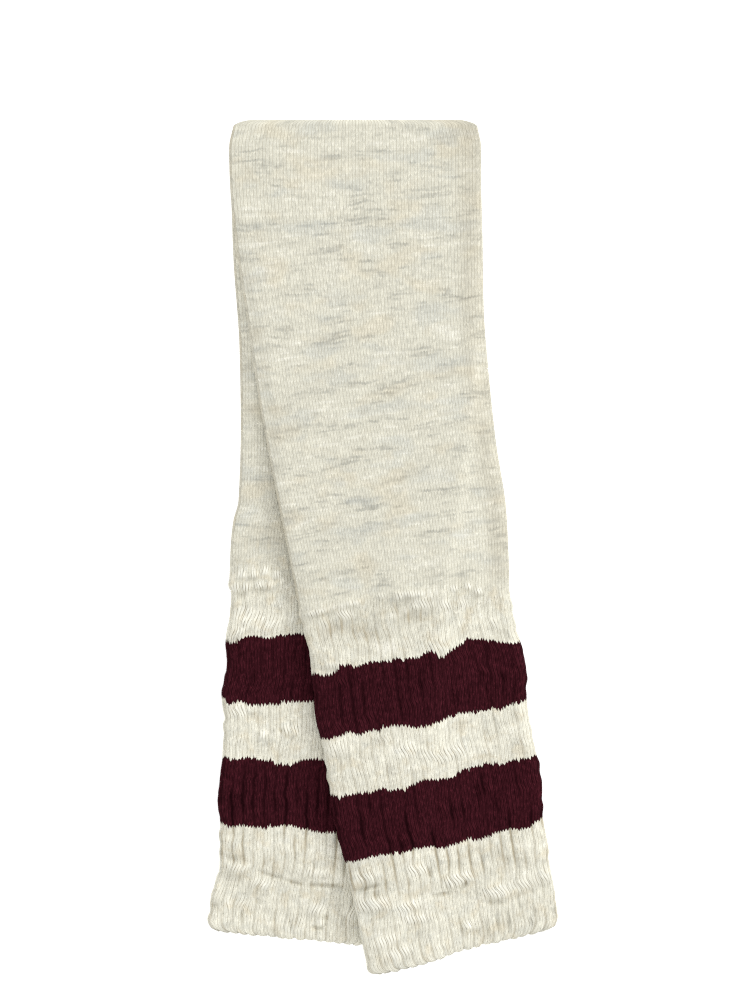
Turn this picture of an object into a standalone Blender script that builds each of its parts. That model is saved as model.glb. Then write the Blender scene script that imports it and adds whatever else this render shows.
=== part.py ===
"""A pair of knee-high knitted socks, laid flat one on the other.

Each sock is a flat tube, folded once across the calf, so that its heel and foot lie hidden behind its leg.
The leg is two walls of cloth with the open inside of the sock between them, from the mouth to the fold.
The layers behind it, down to the toe, are one flat solid with a groove along its edge.

Sizes are millimetres, and turn into metres where the meshes are made. +X runs to the right, +Y from the
cuffs up to the fold, and +Z up. The origin is on the surface that the socks lie on, under their middle.
"""

import itertools
import math
from collections import namedtuple

import bmesh
import bpy
import numpy as np

MM = 0.001

# The cloth
PLAIN_WALL = 1.2
CUFF_WALL = 1.5
RIB_RISE = 0.45
INSIDE_GAP = 0.3  # between the two walls of a flat leg
MOUTH_GAP = 1.0  # the same at the open mouth
MOUTH_DEPTH = 18.0  # how far in the mouth's wider gap reaches
LAYER_GAP = 0.3  # between a sock's own leg and foot
SOCK_GAP = 0.5  # between the two socks
FOOT_THICKNESS = 2.4  # two layers of plain cloth
FOOT_GROOVE = 0.7  # how deep the groove between them runs along the edge
ROUND_EDGE = 2.2  # how far in from its edge a flat tube starts to round over
CORNER = 3.5  # the rounding of the mouth's two corners
LIP = 0.8  # the rounding of the mouth's rim
FOLD_CORNER = 4.0  # how much narrower the fold is at its outermost
FOLD_SOFTNESS = 1.5  # how softly a fold runs out into the cloth round it

# The knitting
RIBS = 18  # on each face, three raised stitches and one sunk
RIB_SHOULDER = 0.22  # the share of the pitch from the sunk stitch's middle to the rib's shoulder
RIB_FADE = 9.0  # how far the ribs take to grow from the plain leg

# The drape of an upper layer over the edge of a lower one
FOOT_INSET = 4.0  # the foot stays this far inside the leg's outline
FOOT_DRAPE = 7.0
TOE_DRAPE = 25.0
SOCK_DRAPE = 20.0
DRAPE_LEAD = 6.0  # the drape starts this far outside the edge that it hangs over
DRAPE_BLUR = (-24.0, -12.0, 0.0, 12.0, 24.0)  # places along the leg over which that edge is averaged

# The foot, behind the leg: how far from the fold, and half its width
FootRow = namedtuple("FootRow", "name from_fold half_width")
FOOT_ROWS = (
    FootRow("calf", 0, 50.0),
    FootRow("lower calf", 45, 45.0),
    FootRow("ankle", 110, 39.0),
    FootRow("heel", 150, 41.5),
    FootRow("instep", 190, 38.0),
    FootRow("ball", 250, 38.5),
    FootRow("toe", 292, 36.5),
)
TOE_RADIUS = 24.0

# The leg's outline: a row is one course of stitches, from its left end to its right end. The rows were
# measured from a point near the middle of the finished outline, which is here.
MIDDLE = (-0.2, 0.8)
Row = namedtuple("Row", "name left_x left_y right_x right_y")
FRONT_ROWS = (
    Row("rim", -6.0, -169.5, 69.5, -150.5),
    Row("welt", -8.5, -157.5, 69.0, -141.0),
    Row("lower cuff", -12.0, -141.5, 66.5, -126.0),
    Row("band 2 starts", -15.5, -125.0, 64.0, -109.0),
    Row("band 2", -19.0, -112.5, 63.5, -97.0),
    Row("band 2 ends", -21.0, -100.0, 61.5, -84.0),
    Row("between bands", -23.0, -88.0, 59.0, -72.5),
    Row("band 1 starts", -24.5, -76.5, 57.0, -61.0),
    Row("band 1", -27.5, -64.0, 57.5, -50.5),
    Row("band 1 ends", -29.0, -49.0, 54.5, -38.0),
    Row("upper cuff", -31.5, -35.0, 51.5, -24.0),
    Row("ribs end", -33.5, -26.0, 50.5, -15.0),
    Row("gathered leg", -36.0, -12.5, 50.0, -2.0),
    Row("leg 1", -39.5, 5.0, 49.0, 15.5),
    Row("leg 2", -44.5, 30.5, 45.0, 41.5),
    Row("leg 3", -50.0, 60.5, 42.0, 69.5),
    Row("leg 4", -54.0, 88.5, 40.0, 96.0),
    Row("leg 5", -58.5, 118.5, 39.5, 123.5),
    Row("leg 6", -61.0, 142.5, 39.0, 145.0),
    Row("fold", -61.5, 167.5, 39.0, 167.5),
)
BACK_ROWS = (
    Row("rim", -70.0, -152.0, 7.0, -161.0),
    Row("welt", -69.5, -143.5, 7.5, -152.0),
    Row("lower cuff", -67.5, -135.5, 8.0, -142.5),
    Row("low crease", -65.5, -123.5, 10.0, -129.5),
    Row("band 2 starts", -65.5, -110.0, 11.5, -116.0),
    Row("band 2", -66.0, -97.5, 13.0, -102.0),
    Row("band 2 ends", -64.5, -84.0, 14.0, -87.0),
    Row("between bands", -64.0, -72.5, 16.0, -75.5),
    Row("band 1 starts", -64.5, -61.0, 17.0, -63.5),
    Row("band 1", -63.0, -49.5, 18.0, -49.0),
    Row("band 1 ends", -63.0, -37.5, 19.5, -34.0),
    Row("upper cuff", -61.5, -26.0, 20.0, -22.0),
    Row("ribs end", -61.5, -14.5, 21.5, -11.0),
    Row("gathered leg", -61.0, 0.5, 24.0, 3.5),
    Row("above the gathers", -60.5, 10.0, 25.5, 12.0),
    Row("leg 1", -57.5, 18.5, 27.0, 21.0),
    Row("leg 2", -57.0, 46.5, 32.0, 48.0),
    Row("leg 3", -57.5, 78.5, 37.0, 79.5),
    Row("leg 4", -60.0, 116.5, 37.0, 116.5),
    Row("leg 5", -61.0, 146.5, 37.0, 146.5),
    Row("fold", -61.5, 167.5, 37.0, 167.5),
)

# The largest folds of the gathered cuffs: the middle's place along the leg from the rim and across from its
# middle line, the length and the width, the rise (a trough's is below 0), and the turn anticlockwise in degrees
Fold = namedtuple("Fold", "name along across length width rise turn")
FRONT_FOLDS = (
    Fold("ridge where the ribs end, left", 137, -33, 24, 9, 0.8, 8),
    Fold("ridge where the ribs end, middle", 142, 8, 42, 9, 0.8, 0),
    Fold("dimple under it", 134, 3, 14, 8, -0.4, 0),
    Fold("dimple, left", 130, -24, 16, 8, -0.4, 10),
    Fold("roll above band 1", 124, -31, 22, 10, 0.8, 0),
    Fold("hump at band 1", 119, 12, 20, 12, 0.6, 35),
    Fold("hump in band 1", 106, 30, 18, 12, 0.5, -30),
    Fold("roll between the bands, left", 86, -31, 20, 9, 0.7, 0),
    Fold("roll between the bands, middle", 78, 0, 30, 9, 0.6, 6),
    Fold("hump in band 2", 57, 7, 14, 14, 0.7, 60),
    Fold("roll over the lower crease, left", 37, -28, 26, 9, 1.0, -8),
    Fold("roll over the lower crease, middle", 33, 4, 30, 9, 1.0, 4),
    Fold("roll, right", 32, 33, 18, 10, 0.8, 20),
    Fold("low roll, left", 24, -27, 24, 9, 0.8, -6),
    Fold("low hump", 19, 12, 20, 9, 0.7, 30),
)
BACK_FOLDS = (
    Fold("ridge where the ribs end", 145, -28, 26, 9, 0.9, 4),
    Fold("trough above it", 161, -28, 24, 9, -0.4, -2),
    Fold("roll above band 1", 128, -28, 22, 9, 0.6, 6),
    Fold("hump in band 1", 107, -27, 18, 12, 0.5, 20),
    Fold("roll between the bands", 80, -18, 26, 9, 0.6, -4),
    Fold("hump in band 2", 55, -26, 18, 12, 0.5, 0),
    Fold("roll over the crease, right", 33, 12, 34, 9, 1.0, 0),
    Fold("roll over the crease, left", 34, -22, 22, 9, 0.8, -12),
    Fold("low roll, left", 24, -31, 16, 9, 0.7, 8),
    Fold("low hump", 14, 14, 18, 9, 0.7, 40),
)

# How finely the solids are cut
FACE_STEPS = 12  # across a plain face
CUFF_STEP = 4.0  # at most, between rings in the cuff
GATHERED_STEP = 6.0
GATHERED_LENGTH = 26.0  # how far above the ribs the leg is still gathered
LEG_STEP = 13.0
FOOT_STEP = 20.0
INSIDE_STEP = 12.0
FOLD_STEPS = 7
TOE_STEPS = 4
FACE_SHARE, SIDE_SHARE = 0.4, 0.1  # of the way round a flat tube
SIDE_POINTS = 3  # round the edge between two faces
LOCATING_STEP = 1.4  # between the rows that a point is set against

CREAM, WINE = 0, 1
COLOURS = ((0.78, 0.75, 0.66, 1.0), (0.055, 0.006, 0.013, 1.0))
KNIT_ROUGHNESS = 0.9


def smooth_through(at, knots, values):
    """A cubic curve through a table's values that never runs past them."""
    at, knots, values = (np.asarray(given, float) for given in (at, knots, values))
    rises = np.diff(values) / np.diff(knots)
    before, after = rises[:-1], rises[1:]
    same_way = before * after > 0
    middle = np.where(same_way, 2 * before * after / np.where(same_way, before + after, 1), 0)
    slopes = np.concatenate([rises[:1], middle, rises[-1:]])
    i = np.clip(np.searchsorted(knots, at) - 1, 0, len(knots) - 2)
    step = knots[i + 1] - knots[i]
    t = np.clip((at - knots[i]) / step, 0, 1)
    start = (1 + 2 * t) * (1 - t) ** 2 * values[i] + t * (1 - t) ** 2 * step * slopes[i]
    end = t**2 * (3 - 2 * t) * values[i + 1] - t**2 * (1 - t) * step * slopes[i + 1]
    return start + end


def ease(t):
    """0 up to t = 0, 1 from t = 1, and a soft S between."""
    t = np.clip(t, 0, 1)
    return t * t * (3 - 2 * t)


def inside_rounded(to_side, to_end, radius):
    """The distance inside an outline whose corner is rounded, from those to its side and its end."""
    over_side, over_end = np.maximum(radius - to_side, 0), np.maximum(radius - to_end, 0)
    nearest = np.minimum(np.minimum(to_side, to_end), radius)
    return np.where((over_side > 0) & (over_end > 0), radius - np.hypot(over_side, over_end), nearest)


class Sock:
    """A sock's layout: where its cloth lies, from tables of rows and folds.

    A point is given by how far along the leg it is from the rim, and how far across from the middle line.
    """

    def __init__(self, rows, folds, below=None):
        self.left = np.array([(row.left_x, row.left_y) for row in rows]) - MIDDLE
        self.right = np.array([(row.right_x, row.right_y) for row in rows]) - MIDDLE
        middles = (self.left + self.right) / 2
        steps = np.hypot(*np.diff(middles, axis=0).T)
        self.knots = np.concatenate([[0], np.cumsum(steps)])
        self.length = self.knots[-1]
        self.marks = {row.name: along for row, along in zip(rows, self.knots)}
        self.ribs_end = self.marks["ribs end"]
        self.bands = [(self.marks[f"band {n} starts"], self.marks[f"band {n} ends"]) for n in (2, 1)]
        self.folds = folds
        self.below = below

    def row(self, along):
        """A row's middle, its direction across, and half its width."""
        ends = [
            np.stack([smooth_through(along, self.knots, side[:, axis]) for axis in (0, 1)], axis=-1)
            for side in (self.left, self.right)
        ]
        across = ends[1] - ends[0]
        width = np.linalg.norm(across, axis=-1)
        return (ends[0] + ends[1]) / 2, across / width[..., None], width / 2

    def place(self, along, across):
        middle, direction, _ = self.row(along)
        return middle + direction * np.asarray(across)[..., None]

    def locate(self, points):
        """The along and the across of points given as x and y."""
        samples = np.arange(0, self.length + LOCATING_STEP, LOCATING_STEP)
        middles, directions, _ = self.row(samples)
        uphill = np.stack([-directions[:, 1], directions[:, 0]], axis=-1)
        height = ((points[:, None] - middles) * uphill).sum(-1)
        nearest = np.abs(height).argmin(axis=1)
        along = samples[nearest] + height[np.arange(len(points)), nearest]
        middle, direction, _ = self.row(along)
        return along, ((points - middle) * direction).sum(-1)

    def ribbed(self, along):
        return ease((self.ribs_end - along) / RIB_FADE)

    def inside_gap(self, along):
        return INSIDE_GAP + (MOUTH_GAP - INSIDE_GAP) * ease(1 - along / MOUTH_DEPTH)

    def upper_wall(self, along):
        return PLAIN_WALL + (CUFF_WALL - PLAIN_WALL) * self.ribbed(along)

    def leg_thickness(self, along):
        return PLAIN_WALL + self.inside_gap(along) + self.upper_wall(along)

    def folds_at(self, along, across):
        """The height of the folds at a point."""
        height = np.zeros(np.broadcast(along, across).shape)
        for fold in self.folds:
            turn = math.radians(fold.turn)
            up, over = along - fold.along, across - fold.across
            lengthwise = (over * math.cos(turn) + up * math.sin(turn)) / (fold.length / 2)
            widthwise = (up * math.cos(turn) - over * math.sin(turn)) / (fold.width / 2)
            reach = np.clip(1 - lengthwise**2, 0, 1) * np.clip(1 - widthwise**2, 0, 1)
            height = height + fold.rise * reach**FOLD_SOFTNESS
        return height

    def foot_half_width(self, along):
        """Half the foot's width behind a place on the leg, before the toe's rounding."""
        from_fold = self.length - np.asarray(along, float)
        own = smooth_through(
            from_fold, [row.from_fold for row in FOOT_ROWS], [row.half_width for row in FOOT_ROWS]
        )
        inset = FOOT_INSET * ease(from_fold / FOOT_ROWS[1].from_fold)
        return np.minimum(own, self.row(along)[2] - inset)

    @property
    def toe_along(self):
        return self.length - FOOT_ROWS[-1].from_fold

    def foot_cover(self, along, to_side, lead=0.0):
        """1 over the foot, and down to 0 where the drape over its edge ends."""
        to_end = (along - self.toe_along) * FOOT_DRAPE / TOE_DRAPE
        return ease(1 + (inside_rounded(to_side, to_end, FOOT_DRAPE) + lead) / FOOT_DRAPE)

    def leg_cover(self, along, to_side):
        return ease(1 + (inside_rounded(to_side, along, CORNER) + DRAPE_LEAD) / SOCK_DRAPE)

    def foot_base(self, points):
        """The height of what the sock lies on."""
        return self.below.top(points) if self.below else np.zeros(len(points))

    def leg_base(self, points):
        """The height of the leg's underside, over the foot behind it."""
        along, across = self.locate(points)
        cover = self.foot_cover(along, self.foot_half_width(along) - np.abs(across))
        return self.foot_base(points) + (FOOT_THICKNESS + LAYER_GAP) * cover

    def top(self, points):
        """A soft surface just over the sock, for the next one to lie on."""
        along, across = self.locate(points)
        clamped = np.clip(along, 0, self.length)
        leg = self.leg_thickness(clamped) + RIB_RISE * self.ribbed(clamped) + SOCK_GAP
        leg = leg + np.maximum(self.folds_at(along, across), 0)
        to_foot_side, to_leg_side = 0.0, 0.0
        for shift in DRAPE_BLUR:
            along_there, across_there = self.locate(points + (0, shift))
            to_foot_side = to_foot_side + self.foot_half_width(along_there) - np.abs(across_there)
            to_leg_side = to_leg_side + self.row(along_there)[2] - np.abs(across_there)
        foot_cover = self.foot_cover(along, to_foot_side / len(DRAPE_BLUR), lead=DRAPE_LEAD)
        leg_cover = self.leg_cover(along, to_leg_side / len(DRAPE_BLUR))
        return (FOOT_THICKNESS + LAYER_GAP) * foot_cover + leg * leg_cover


Loop = namedtuple("Loop", "share across height")  # each point's share of the way round, and its place
PLAIN_STATIONS = np.linspace(0, 1, FACE_STEPS + 1)  # the places of a face's points, as shares of its width
RIB_POINTS = np.array([0, RIB_SHOULDER, 1 - RIB_SHOULDER])  # the sunk stitch before a rib, and its shoulders
RIB_STATIONS = np.append((np.arange(RIBS)[:, None] + RIB_POINTS).ravel() / RIBS, 1)


def loop_of(half_width, thickness, outer=PLAIN_STATIONS, edge=ROUND_EDGE, groove=0.0, sides=SIDE_POINTS):
    """A closed loop across a flat tube: the outer face, the right edge, the inner face, the left edge."""
    flat = half_width - edge
    inner = PLAIN_STATIONS[::-1]
    turn = np.arange(1, sides + 1) / (sides + 1)
    bulge = edge * np.sin(math.pi * turn)
    side = flat + bulge + (edge - bulge) * groove / FOOT_GROOVE
    side[sides // 2] -= groove
    side_height = thickness / 2 * (1 + np.cos(math.pi * turn))
    half = FACE_SHARE + SIDE_SHARE
    shares = (
        FACE_SHARE * outer,
        FACE_SHARE + SIDE_SHARE * turn,
        half + FACE_SHARE * (1 - inner),
        half + FACE_SHARE + SIDE_SHARE * turn,
    )
    across = (flat * (2 * outer - 1), side, flat * (2 * inner - 1), -side[::-1])
    heights = (np.full(len(outer), thickness), side_height, np.zeros(len(inner)), side_height[::-1])
    return Loop(*(np.concatenate(parts) for parts in (shares, across, heights)))


def base_along_row(sock, along, base):
    """A layer's height across one row, as straight pieces between the same places for every ring there."""
    half_width = float(sock.row(along)[2])
    stations = np.linspace(-half_width + ROUND_EDGE, half_width - ROUND_EDGE, FACE_STEPS + 1)
    heights = base(sock.place(np.full(len(stations), along), stations))
    return lambda across: np.interp(across, stations, heights)


class Shell:
    """A mesh that is lofted ring by ring."""

    def __init__(self):
        self.mesh = bmesh.new()

    def ring(self, shares, points):
        return [(share, self.mesh.verts.new(point * MM)) for share, point in zip(shares, points)]

    def stitch(self, first, second, colour=CREAM):
        """Joins two rings, which may have unlike numbers of points, by their shares of the way round."""
        ahead = [[share for share, _ in ring[1:]] + [1.0] for ring in (first, second)]
        i = j = 0
        while i < len(first) or j < len(second):
            next_first = ahead[0][i] if i < len(first) else math.inf
            next_second = ahead[1][j] if j < len(second) else math.inf
            a, b = first[i % len(first)][1], second[j % len(second)][1]
            after_a, after_b = first[(i + 1) % len(first)][1], second[(j + 1) % len(second)][1]
            if math.isclose(next_first, next_second, abs_tol=1e-6):
                corners = (a, after_a, after_b, b)
                i, j = i + 1, j + 1
            elif next_first < next_second:
                corners = (a, after_a, b)
                i += 1
            else:
                corners = (a, after_b, b)
                j += 1
            self.mesh.faces.new(corners).material_index = colour

    def loft(self, rings, colours=()):
        """Joins rings in their order. The first joins take the colours given, and the rest are cream."""
        for first, second, colour in itertools.zip_longest(rings, rings[1:], colours, fillvalue=CREAM):
            if second:
                self.stitch(first, second, colour)

    def cap(self, ring):
        self.mesh.faces.new([vert for _, vert in ring])


def rounded_in(half_width, to_end, radius):
    """Half a flat shape's width, near an end whose corners are rounded."""
    near = min(max(radius - to_end, 0), radius)
    return float(half_width) - radius + math.sqrt(radius**2 - near**2)


def outer_leg_ring(shell, sock, along, inset=0.0):
    """A ring round the leg's outside, with its ribs and folds, or inset by that share of the wall."""
    ribbed = along <= sock.ribs_end
    outer = RIB_STATIONS if ribbed else PLAIN_STATIONS
    lower, upper = inset * PLAIN_WALL, float(sock.leg_thickness(along) - inset * sock.upper_wall(along))
    half_width = rounded_in(sock.row(along)[2], along, CORNER) - lower
    loop = loop_of(half_width, upper - lower, outer)
    point = np.arange(len(loop.share))
    relief = sock.folds_at(along, loop.across)
    if ribbed:
        relief = relief + RIB_RISE * float(sock.ribbed(along)) * (point % len(RIB_POINTS) > 0)
    height = lower + loop.height + np.where(point < len(outer), relief, 0) * (1 - inset)
    return sock_ring(shell, sock, along, loop, height, sock.leg_base)


def inner_leg_ring(shell, sock, along):
    """A ring round the plain inside of the leg."""
    gap = float(sock.inside_gap(along))
    half_width = rounded_in(sock.row(along)[2], along, CORNER) - PLAIN_WALL
    loop = loop_of(half_width, gap, edge=gap, sides=1)
    return sock_ring(shell, sock, along, loop, PLAIN_WALL + loop.height, sock.leg_base)


def sock_ring(shell, sock, along, loop, height, base):
    """A loop set across the sock, at heights over the base that it lies on."""
    place = sock.place(np.full(len(height), along), loop.across)
    height = height + base_along_row(sock, along, base)(loop.across)
    return shell.ring(loop.share, np.column_stack([place, height]))


def fold_ring(shell, sock, turned):
    """A ring of the turn from the leg, at turned 0, to the foot, at turned 1."""
    half_turn = math.pi * turned
    thickness = float(sock.leg_thickness(sock.length)) * (1 - turned) + FOOT_THICKNESS * turned
    narrowing = FOLD_CORNER * math.sin(half_turn) ** 2
    half_width = float(sock.row(sock.length)[2]) - narrowing
    loop = loop_of(half_width, thickness, groove=FOOT_GROOVE * turned)
    axis = base_along_row(sock, sock.length, sock.foot_base)(loop.across) + FOOT_THICKNESS + LAYER_GAP / 2
    radius = LAYER_GAP / 2 + loop.height
    place = sock.place(np.full(len(axis), sock.length), loop.across)
    _, direction, _ = sock.row(sock.length)
    uphill = np.array([-direction[1], direction[0]])
    place = place + uphill * (radius * math.sin(half_turn))[:, None]
    return shell.ring(loop.share, np.column_stack([place, axis + radius * math.cos(half_turn)]))


def foot_ring(shell, sock, along):
    """A ring round the flat foot. Its outer face is the lower one, since the fold turned it over."""
    half_width = rounded_in(sock.foot_half_width(along), along - sock.toe_along, TOE_RADIUS)
    loop = loop_of(half_width, FOOT_THICKNESS, groove=FOOT_GROOVE)
    return sock_ring(shell, sock, along, loop, FOOT_THICKNESS - loop.height, sock.foot_base)


def steps_between(ends, step):
    """Even steps from each of these ends to the next, none longer than step."""
    runs = [np.linspace(a, b, math.ceil(abs(b - a) / step) + 1)[1:] for a, b in zip(ends, ends[1:])]
    return np.concatenate([ends[:1], *runs])


def cuff_colours(sock, stations):
    middles = (stations[1:] + stations[:-1]) / 2
    return [WINE if any(start < middle < end for start, end in sock.bands) else CREAM for middle in middles]


def build_sock(name, sock, collection):
    shell = Shell()
    cuff_ends = (LIP, *itertools.chain(*sock.bands), sock.ribs_end)
    gathered_end = sock.ribs_end + GATHERED_LENGTH
    cuff = steps_between(cuff_ends, CUFF_STEP)
    gathered = steps_between((sock.ribs_end, gathered_end), GATHERED_STEP)[1:]
    leg = steps_between((gathered_end, sock.length), LEG_STEP)[1:-1]
    outside = [outer_leg_ring(shell, sock, along) for along in (*cuff, *gathered, *leg)]
    folded = [fold_ring(shell, sock, turned) for turned in np.linspace(0, 1, FOLD_STEPS + 1)]
    quarter_turns = np.linspace(0, math.pi / 2, TOE_STEPS + 1)[1:]
    toe = sock.toe_along + TOE_RADIUS * (1 - np.sin(quarter_turns))
    foot = (*steps_between((sock.length, sock.toe_along + TOE_RADIUS), FOOT_STEP)[1:], *toe)
    footed = [foot_ring(shell, sock, along) for along in foot]
    inside = steps_between((*cuff_ends, sock.length - FOLD_CORNER), INSIDE_STEP)
    lined = [inner_leg_ring(shell, sock, along) for along in inside]
    lip = outer_leg_ring(shell, sock, 0.0, inset=0.5)
    shell.loft([*outside, *folded, *footed], cuff_colours(sock, cuff))
    shell.cap(footed[-1])
    shell.stitch(outside[0], lip)
    shell.stitch(lip, lined[0])
    shell.loft(lined, cuff_colours(sock, inside))
    shell.cap(lined[-1])
    bmesh.ops.recalc_face_normals(shell.mesh, faces=shell.mesh.faces)
    mesh = bpy.data.meshes.new(name)
    shell.mesh.to_mesh(mesh)
    shell.mesh.free()
    mesh.shade_smooth()
    for label, colour in zip(("cream", "wine"), COLOURS):
        mesh.materials.append(knit_material(f"{name}_{label}", colour))
    collection.objects.link(bpy.data.objects.new(name, mesh))


def knit_material(name, colour):
    material = bpy.data.materials.new(name)
    material.use_nodes = True
    shader = material.node_tree.nodes["Principled BSDF"]
    shader.inputs["Base Color"].default_value = colour
    shader.inputs["Roughness"].default_value = KNIT_ROUGHNESS
    shader.inputs["Metallic"].default_value = 0.0
    return material


def main():
    for old in list(bpy.data.objects):
        bpy.data.objects.remove(old, do_unlink=True)
    collection = bpy.data.collections.new("pair_of_knee_high_socks")
    bpy.context.scene.collection.children.link(collection)
    back = Sock(BACK_ROWS, BACK_FOLDS)
    front = Sock(FRONT_ROWS, FRONT_FOLDS, below=back)
    build_sock("back_sock", back, collection)
    build_sock("front_sock", front, collection)


main()
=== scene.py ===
"""The looks of a pair of knee-high knitted socks, laid flat one on the other.

Each sock is one thin shell of cloth on its solid's own form: a flat tube with an open mouth, folded once
across the calf, with the foot behind the leg. The shell is made row by row of stitches, so that a point of it
is known by its wale, which is a column of stitches, and its course, which is a row of them. The gathers of
the cuff move the wales and the courses, and the colours, the bands' edges and the stitches follow them.

Sizes are millimetres, and turn into metres where the meshes are made. +X runs to the right, +Y from the
cuffs up to the fold, and +Z up.
"""

import math
from collections import namedtuple

import bmesh
import bpy
import numpy as np
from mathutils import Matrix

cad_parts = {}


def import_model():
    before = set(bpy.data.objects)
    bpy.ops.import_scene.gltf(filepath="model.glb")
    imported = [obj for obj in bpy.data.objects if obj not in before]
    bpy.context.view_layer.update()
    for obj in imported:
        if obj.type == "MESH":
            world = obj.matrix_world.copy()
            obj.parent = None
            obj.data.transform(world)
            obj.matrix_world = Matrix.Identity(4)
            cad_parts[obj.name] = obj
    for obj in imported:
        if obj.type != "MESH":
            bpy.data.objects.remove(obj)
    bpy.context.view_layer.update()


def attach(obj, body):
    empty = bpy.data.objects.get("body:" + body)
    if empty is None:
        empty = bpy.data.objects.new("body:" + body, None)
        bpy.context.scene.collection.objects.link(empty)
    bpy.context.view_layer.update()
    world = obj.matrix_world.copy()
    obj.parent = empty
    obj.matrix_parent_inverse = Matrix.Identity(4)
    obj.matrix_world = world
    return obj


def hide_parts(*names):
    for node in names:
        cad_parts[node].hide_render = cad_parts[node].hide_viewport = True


MM = 0.001

# The cloth, as in the solids
PLAIN_WALL = 1.2
CUFF_WALL = 1.5
INSIDE_GAP = 0.3  # between the two walls of a flat leg
MOUTH_GAP = 1.0  # the same at the open mouth
MOUTH_DEPTH = 18.0  # how far in the mouth's wider gap reaches
LAYER_GAP = 0.3  # between a sock's own leg and foot
SOCK_GAP = 0.6  # between the two socks
FOOT_THICKNESS = 2.4  # two layers of plain cloth
FOOT_GROOVE = 0.7  # how deep the groove between them runs along the edge
GROOVE_NARROW = 8.0  # and how narrow it is
ROUND_EDGE = 0.9  # how far in from its edge a flat tube starts to round over
CORNER = 3.5  # the rounding of the mouth's two corners
LIP = 0.8  # the rounding of the mouth's rim
FOLD_CORNER = 6.5  # how much narrower the fold is at its outermost

# The knitting
RIBS = 18  # on each face
RIB_WALES = 4  # three raised, one sunk
FACE_WALES = RIBS * RIB_WALES
SIDE_WALES = 4  # round the edge between two faces
COURSE = 0.92
BAND_COURSES = ((47, 75), (101, 128))  # the lower band's first and last course, and the upper band's
WALE_RISE = 0.16
RIB_PATCH = 9.0  # how far a rib stays as deep as it is
RIB_MEAN, RIB_SPREAD = 0.8, 1.5  # how deep the ribs are, as a share of their table's depth, and how unevenly
RIB_LEAST, RIB_MOST = 0.05, 1.9
SUNK_WIDTH = 0.5  # of a plain wale's width, that a rib's sunk wale closes up to
SUNK_REACH, SUNK_SLOPE = 1.5, 1.3  # how many wales its groove reaches, and over how many it slopes
SUNK_BACK = 1.6  # how far it draws the rim back, against how far the raised wales stand out
SCALLOP = 0.3  # how far the raised wales stand out at the rim
SCALLOP_REACH = 3.0
RIM_EASES = 14.0  # how far the rim's own run reaches into the cuff
SET_BACK = 1.0  # how far the lower wall's rim lies behind the upper wall's
RAGGED, RAGGED_WALES = 0.4, 3.2  # how unevenly the rim runs, and over how many wales
RIB_FADE = 9.0  # how far the ribs take to grow from the plain leg

# The drape of an upper layer over the edge of a lower one
FOOT_INSET = 4.0
FOOT_DRAPE = 7.0
TOE_DRAPE = 25.0
SOCK_DRAPE = 20.0
DRAPE_LEAD = 6.0
DRAPE_BLUR = (-24.0, -12.0, 0.0, 12.0, 24.0)


def table(kind, *rows):
    """A table's rows, by the kind of row that names its columns."""
    return [kind(*row) for row in rows]


# The foot, behind the leg: how far from the fold, and half its width
FootRow = namedtuple("FootRow", "name from_fold half_width")
FOOT_ROWS = table(
    FootRow,
    ("calf", 0, 50),
    ("lower calf", 45, 45),
    ("ankle", 110, 39),
    ("heel", 150, 41.5),
    ("instep", 190, 38),
    ("ball", 250, 38.5),
    ("toe", 292, 36.5),
)
TOE_RADIUS = 24.0

# The leg's outline: a row is one course of stitches, from its left end to its right end
MIDDLE = (-0.2, 0.8)
Row = namedtuple("Row", "name left_x left_y right_x right_y")
FRONT_ROWS = table(
    Row,
    ("rim", -6, -169.5, 69.5, -150.5),
    ("welt", -8.5, -157.5, 69, -141),
    ("lower cuff", -12, -141.5, 66.5, -126),
    ("band 2 starts", -15.5, -125, 64, -109),
    ("band 2", -19, -112.5, 63.5, -97),
    ("band 2 ends", -21, -100, 61.5, -84),
    ("between bands", -23, -88, 59, -72.5),
    ("band 1 starts", -24.5, -76.5, 57, -61),
    ("band 1", -27.5, -64, 57.5, -50.5),
    ("band 1 ends", -29, -49, 54.5, -38),
    ("upper cuff", -31.5, -35, 51.5, -24),
    ("ribs end", -33.5, -26, 50.5, -15),
    ("gathered leg", -36, -12.5, 50, -2),
    ("leg 1", -39.5, 5, 49, 15.5),
    ("leg 2", -44.5, 30.5, 45, 41.5),
    ("leg 3", -50, 60.5, 42, 69.5),
    ("leg 4", -54, 88.5, 40, 96),
    ("leg 5", -58.5, 118.5, 39.5, 123.5),
    ("leg 6", -61, 142.5, 39, 145),
    ("shoulder", -61.5, 158.5, 39, 158.5),
    ("fold", -59.8, 167.5, 37.4, 167.5),
)
BACK_ROWS = table(
    Row,
    ("rim", -70, -152, 7, -161),
    ("welt", -69.5, -143.5, 7.5, -152),
    ("lower cuff", -67.5, -135.5, 8, -142.5),
    ("low crease", -65.5, -123.5, 10, -129.5),
    ("band 2 starts", -65.5, -110, 11.5, -116),
    ("band 2", -66, -97.5, 13, -102),
    ("band 2 ends", -64.5, -84, 14, -87),
    ("between bands", -64, -72.5, 16, -75.5),
    ("band 1 starts", -64.5, -61, 17, -63.5),
    ("band 1", -63, -49.5, 18, -49),
    ("band 1 ends", -63, -37.5, 19.5, -34),
    ("upper cuff", -61.5, -26, 20, -22),
    ("ribs end", -61.5, -14.5, 21.5, -11),
    ("gathered leg", -61, 0.5, 24, 3.5),
    ("above the gathers", -60, 10, 25.5, 12),
    ("leg 1", -57.9, 18.5, 27, 21),
    ("leg 2", -57, 46.5, 32, 48),
    ("leg 3", -57.5, 78.5, 37, 79.5),
    ("leg 4", -60, 116.5, 37, 116.5),
    ("leg 5", -61, 146.5, 37, 146.5),
    ("shoulder", -61.5, 158.5, 37, 158.5),
    ("fold", -59.8, 167.5, 35.4, 167.5),
)

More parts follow.
